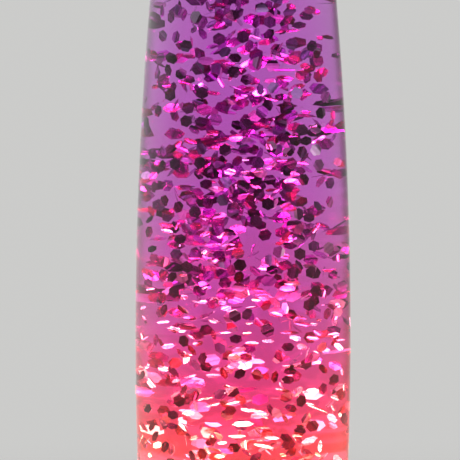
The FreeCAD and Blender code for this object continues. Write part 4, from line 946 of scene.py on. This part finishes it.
def inside_glass(vertices):
    """Moves each flake towards the axis by what its outermost corner lacks of the least gap
    between a flake and the glass."""
    room = inner_radius(vertices[..., 2]) - np.hypot(vertices[..., 0], vertices[..., 1])
    lack = np.clip(flake_gap - room.min(1), 0.0, None)
    outward = vertices.mean(1) * (1.0, 1.0, 0.0)
    outward /= np.linalg.norm(outward, axis=1)[:, None]
    return vertices - (lack[:, None] * outward)[:, None, :]


def painted_face_tones(rng, names):
    """Painted tone of every face of a flake: its strips take the first or second tone and a painted
    shade, a little lighter or darker from strip to strip; the thin rim takes the first."""
    strips = len(flake_rows) - 1
    rows = []
    for name in names:
        first, second = np.array(tones[name[0]]), np.array(tones[name[-1]])
        split = rng.integers(1, strips)
        shades = rng.uniform(*painted_strip_shades, strips)
        shaded = [first if strip < split else second for strip in range(strips)]
        shaded = [np.append(np.clip(tone[:3] * shade, 0, 1), tone[3])
                  for tone, shade in zip(shaded, shades)]
        rows += shaded + shaded + [first] * 2 * len(flake_rows)
    return np.array(rows)


rng = np.random.default_rng(flake_seed)
front_places, front_turns, front_names, front_cuts = front_pieces(rng)
deep_places = flake_places(rng, front_places)
places = np.concatenate([front_places, deep_places])
turns = np.concatenate([front_turns, flake_turns(rng, len(deep_places))])
names = front_names + deep_names(rng, deep_places)
curls = rng.normal(0, curl_spread, (flake_total, 1)) * curl_shape
slopes = curls + rng.normal(0, crease_spread, (flake_total, len(curl_shape)))
cuts = np.concatenate([front_cuts, np.ones((len(deep_places), 3))])
glints = np.array([name in ("W", "B") for name in names])
glints[:len(front_names)] = False
cuts[glints, 0] = rng.uniform(*glint_lengths, glints.sum())
cuts[glints, 1] = rng.uniform(*glint_widths, glints.sum())
vertices, faces = flake_mesh(places, turns, slopes, cuts)
vertices = inside_glass(vertices).reshape(-1, 3)
glitter = new_piece("glitter_flakes", vertices, faces, "bottle", ["glitter"],
                    smooth=False)
tone_attribute = glitter.data.attributes.new("painted_flake_tone", "FLOAT_COLOR", "FACE")
tone_attribute.data.foreach_set("color", painted_face_tones(rng, names).ravel())
glitter.data.materials.append(foil_with_painted_light())


# Finishes of the CAD nodes

def finish(names, made):
    """Gives nodes of the CAD model a material."""
    for name in names.split():
        nodes[name].data.materials.clear()
        nodes[name].data.materials.append(made)


finish("cap_shell base_cone bottle_cup waist_rivets",
       turned_metal("spun_aluminium", (0.70, 0.70, 0.71), (0.80, 0.80, 0.81), 0.26))
finish("seat_ring bottom_plate plate_lugs holder_bridge bulb_supports",
       metal("plated_steel", (0.48, 0.48, 0.47), (0.62, 0.62, 0.61), 0.36))
finish("plate_screws bridge_rivets holder_screws block_screw",
       metal("screw_steel", (0.52, 0.51, 0.48), (0.68, 0.67, 0.64), 0.30, 900.0))
finish("crown_cap", metal("crown_tinplate", (0.62, 0.60, 0.55), (0.78, 0.76, 0.72), 0.26, 700.0))
finish("holder_terminals screw_sleeve centre_contact bulb_screw_cap terminal_sleeves"
       " terminal_screws switch_blades bulb_tip",
       metal("bare_brass", (0.52, 0.36, 0.14), (0.78, 0.58, 0.28), 0.28, 800.0))
tungsten = metal("tungsten_wire", (0.25, 0.24, 0.22), (0.40, 0.38, 0.35), 0.42, 2000.0,
                 Emission_Color=(1.0, 0.55, 0.22), Emission_Strength=8.0)
tungsten.cycles.emission_sampling = "NONE"
finish("bulb_filament", tungsten)
finish("crown_liner cap_liner",
       moulded("liner_plastic", (0.74, 0.74, 0.71), (0.84, 0.84, 0.82), 0.5))
finish("seat_gasket", moulded("gasket_silicone", (0.70, 0.68, 0.64), (0.80, 0.78, 0.74), 0.62))
finish("rubber_feet cord_grommet", moulded("black_rubber", (0.018, 0.018, 0.018),
                                           (0.035, 0.035, 0.034), 0.72, depth=0.00004))
finish("lamp_holder",
       moulded("holder_phenolic", (0.035, 0.030, 0.026), (0.060, 0.052, 0.045), 0.42))
finish("bulb_insulator", moulded("fused_black_glass", (0.012, 0.012, 0.016), (0.03, 0.03, 0.035),
                                 0.14, depth=0.00001))
finish("terminal_block", moulded("block_nylon", (0.78, 0.77, 0.72), (0.88, 0.87, 0.82), 0.5))
finish("switch_housing", moulded("switch_moulding", (0.022, 0.022, 0.025), (0.036, 0.036, 0.04),
                                 0.48, depth=0.00003))
finish("switch_rocker", moulded("rocker_moulding", (0.028, 0.028, 0.032), (0.042, 0.042, 0.046),
                                0.22, depth=0.000008))
finish("bulb_glass bulb_stem", clear_glass("bulb_glass", (0.98, 0.98, 0.97), glass_ior, 60.0))
for name, finish_name, dark, light in (
    ("lead_live", "lead_brown", (0.12, 0.05, 0.02), (0.18, 0.08, 0.035)),
    ("lead_switched", "lead_black", (0.018, 0.018, 0.018), (0.034, 0.034, 0.034)),
    ("lead_neutral", "lead_blue", (0.03, 0.10, 0.32), (0.05, 0.16, 0.46)),
):
    finish(name, moulded(finish_name, dark, light, 0.45, scale=1500.0))


# Studio: pale floor that fades out into the backdrop, soft overhead light

backdrop = (0.60, 0.60, 0.59)
floor_radius = 760.0
clear_start, clear_end = 0.26, 0.72       # metres from the lamp over which the floor turns clear


def studio_floor():
    """Pale floor, a disc that turns clear away from the lamp, so that the backdrop takes over.
    Mirrored inside the liquid it is dark, a painted shade for the flakes to mirror."""
    made, principled = shader("studio_floor", Roughness=0.8)
    path = add(made, "LightPath").outputs
    # Painted shade: in what the flakes in the liquid mirror the floor turns dark
    mirrored = calculate(made, "MINIMUM", path["Glossy Depth"], path["Transmission Depth"],
                         use_clamp=True)
    colour = mix(made, mirrored, (0.66, 0.66, 0.65), (0.12, 0.12, 0.12))
    join(made, colour, principled, "Base Color")
    out = add(made, "VectorMath", {0: object_coords(made)}, operation="LENGTH").outputs["Value"]
    fade = spread(made, out, start=clear_start, end=clear_end, interpolation_type="SMOOTHSTEP")
    clear = add(made, "BsdfTransparent").outputs["BSDF"]
    both = add(made, "MixShader", {0: fade, 1: principled.outputs["BSDF"], 2: clear})
    join(made, both.outputs["Shader"], made.node_tree.nodes["Material Output"], "Surface")
    return made


vertices, faces = lathe([(floor_radius, 0.0), (400.0, 0.0), (0.0, 0.0)], 96)
floor_mesh = bpy.data.meshes.new("studio_floor")
floor_mesh.from_pydata(vertices * MM, [], faces)
floor = new_object("studio_floor", floor_mesh)
floor_mesh.materials.append(studio_floor())

world = bpy.data.worlds.new("studio")
bpy.context.scene.world = world
world.use_nodes = True
direction = add(world, "TexCoord").outputs["Generated"]
height = spread(world, add(world, "SeparateXYZ", {"Vector": direction}).outputs["Z"], start=-1.0)


def sky_levels(*stops):
    """Grey levels of the studio by the direction's height, from straight down to straight up."""
    return ramp(world, height, *[(position, (level, level, level * 0.985))
                                 for position, level in stops])


def toward(way, near, far):
    """0 to 1 as the direction turns towards a way: from the cosine near to the cosine far."""
    cosine = add(world, "VectorMath", {0: direction, 1: way}, operation="DOT_PRODUCT")
    return spread(world, cosine.outputs["Value"], start=near, end=far,
                  interpolation_type="SMOOTHSTEP")


# The studio: grey round about, dark behind the camera, pale behind the lamp and bright overhead
around_lamp = sky_levels((0.0, 0.45), (0.44, 0.34), (0.54, 0.30), (0.66, 0.42), (0.78, 0.85),
                         (1.0, 1.15))
behind_camera = sky_levels((0.0, 0.45), (0.42, 0.16), (0.54, 0.05), (0.66, 0.12), (0.78, 0.85),
                           (1.0, 1.15))
behind_lamp = sky_levels((0.0, 0.60), (0.46, 0.70), (0.60, 0.85), (0.78, 0.95), (1.0, 1.15))
outside = mix(world, toward((0.0, -1.0, 0.0), 0.45, 0.80), around_lamp, behind_camera)
outside = mix(world, toward((-0.6, 0.8, 0.0), 0.35, 0.90), outside, behind_lamp)
# What the flakes in the liquid mirror has more contrast: a dark horizon and bright soft boxes
deep_behind_camera = sky_levels((0.0, 0.30), (0.44, 0.14), (0.50, 0.11), (0.68, 0.12), (0.74, 1.2),
                                (1.0, 1.8))
deep_behind_lamp = sky_levels((0.0, 0.60), (0.46, 0.60), (0.60, 0.55), (0.74, 0.9), (1.0, 2.0))
inside = mix(world, toward((0.0, 1.0, 0.0), 0.0, 0.60), deep_behind_camera, deep_behind_lamp)
# Light that bounced off something comes from the room; what is seen straight or through glass is
# the backdrop, darker far out on either side, which draws the bottle's edges
path = add(world, "LightPath").outputs
bounced = calculate(world, "ADD", path["Glossy Depth"], path["Diffuse Depth"], use_clamp=True)
through = calculate(world, "MINIMUM", path["Transmission Depth"], 1.0)
seen = mix(world, toward((-1.0, 0.0, 0.0), 0.66, 0.86), backdrop, (0.30, 0.16, 0.25))
seen = mix(world, toward((1.0, 0.0, 0.0), 0.64, 0.86), seen, (0.31, 0.23, 0.30))
seen = mix(world, path["Is Camera Ray"], seen, backdrop)
room = mix(world, through, outside, inside)
join(world, mix(world, bounced, seen, room), world.node_tree.nodes["Background"], "Color")


def new_light(name, kind, power, colour, spot):
    """A light at a place in metres that is not seen itself."""
    lamp = bpy.data.lights.new(name, kind)
    lamp.energy, lamp.color = power, colour
    light = new_object(name, lamp)
    light.location = spot
    light.visible_camera = light.visible_transmission = False
    return light


softbox_place, softbox_aim, softbox_size = (-0.9, -0.8, 1.1), (0.0, 0.0, 0.18), 0.7
softbox = new_light("key_softbox", "AREA", 6.0, (1.0, 0.99, 0.97), softbox_place)
softbox.data.shape = "RECTANGLE"
softbox.data.size = softbox.data.size_y = softbox_size
away = np.array(softbox_place) - np.array(softbox_aim)
softbox.rotation_euler = (math.acos(away[2] / np.linalg.norm(away)), 0.0,
                          math.atan2(away[1], away[0]) + math.pi / 2)

# The bulb's light in the liquid, warm at the bottle's floor and pinker the more dye it has passed:
# height in millimetres, watts and colour
glow_lights = (
    (99.0, 3.6, (0.58, 1.00, 0.38)),
    (114.0, 2.8, (0.58, 1.00, 0.38)),
    (132.0, 1.6, (0.60, 1.00, 0.38)),
    (152.0, 0.58, (0.66, 1.00, 0.38)),
    (176.0, 0.17, (0.75, 0.80, 0.42)),
    (206.0, 0.085, (0.85, 0.50, 0.48)),
    (242.0, 0.052, (0.95, 0.42, 0.66)),
    (284.0, 0.040, (0.95, 0.42, 0.70)),
)
for step, (level, power, colour) in enumerate(glow_lights):
    light = new_light("glow_light_%d" % step, "POINT", power, colour, (0.0, 0.0, level * MM))
    light.data.shadow_soft_size = 4.0 * MM
    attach(light, "bottle")

# Camera of the photograph
camera_data = bpy.data.cameras.new("photo_camera")
camera = new_object("photo_camera", camera_data)
bpy.context.scene.camera = camera
camera.location = target + back * camera_distance
camera.rotation_euler = (math.pi / 2 - camera_elevation, 0.0, 0.0)
camera_data.sensor_width = sensor_width
camera_data.lens = sensor_width * camera_distance / (picture_size * pixel)
camera_data.clip_start = 0.01

scene = bpy.context.scene
scene.view_settings.view_transform = "Standard"
scene.cycles.max_bounces = 24
scene.cycles.transmission_bounces = 24
scene.cycles.glossy_bounces = 6
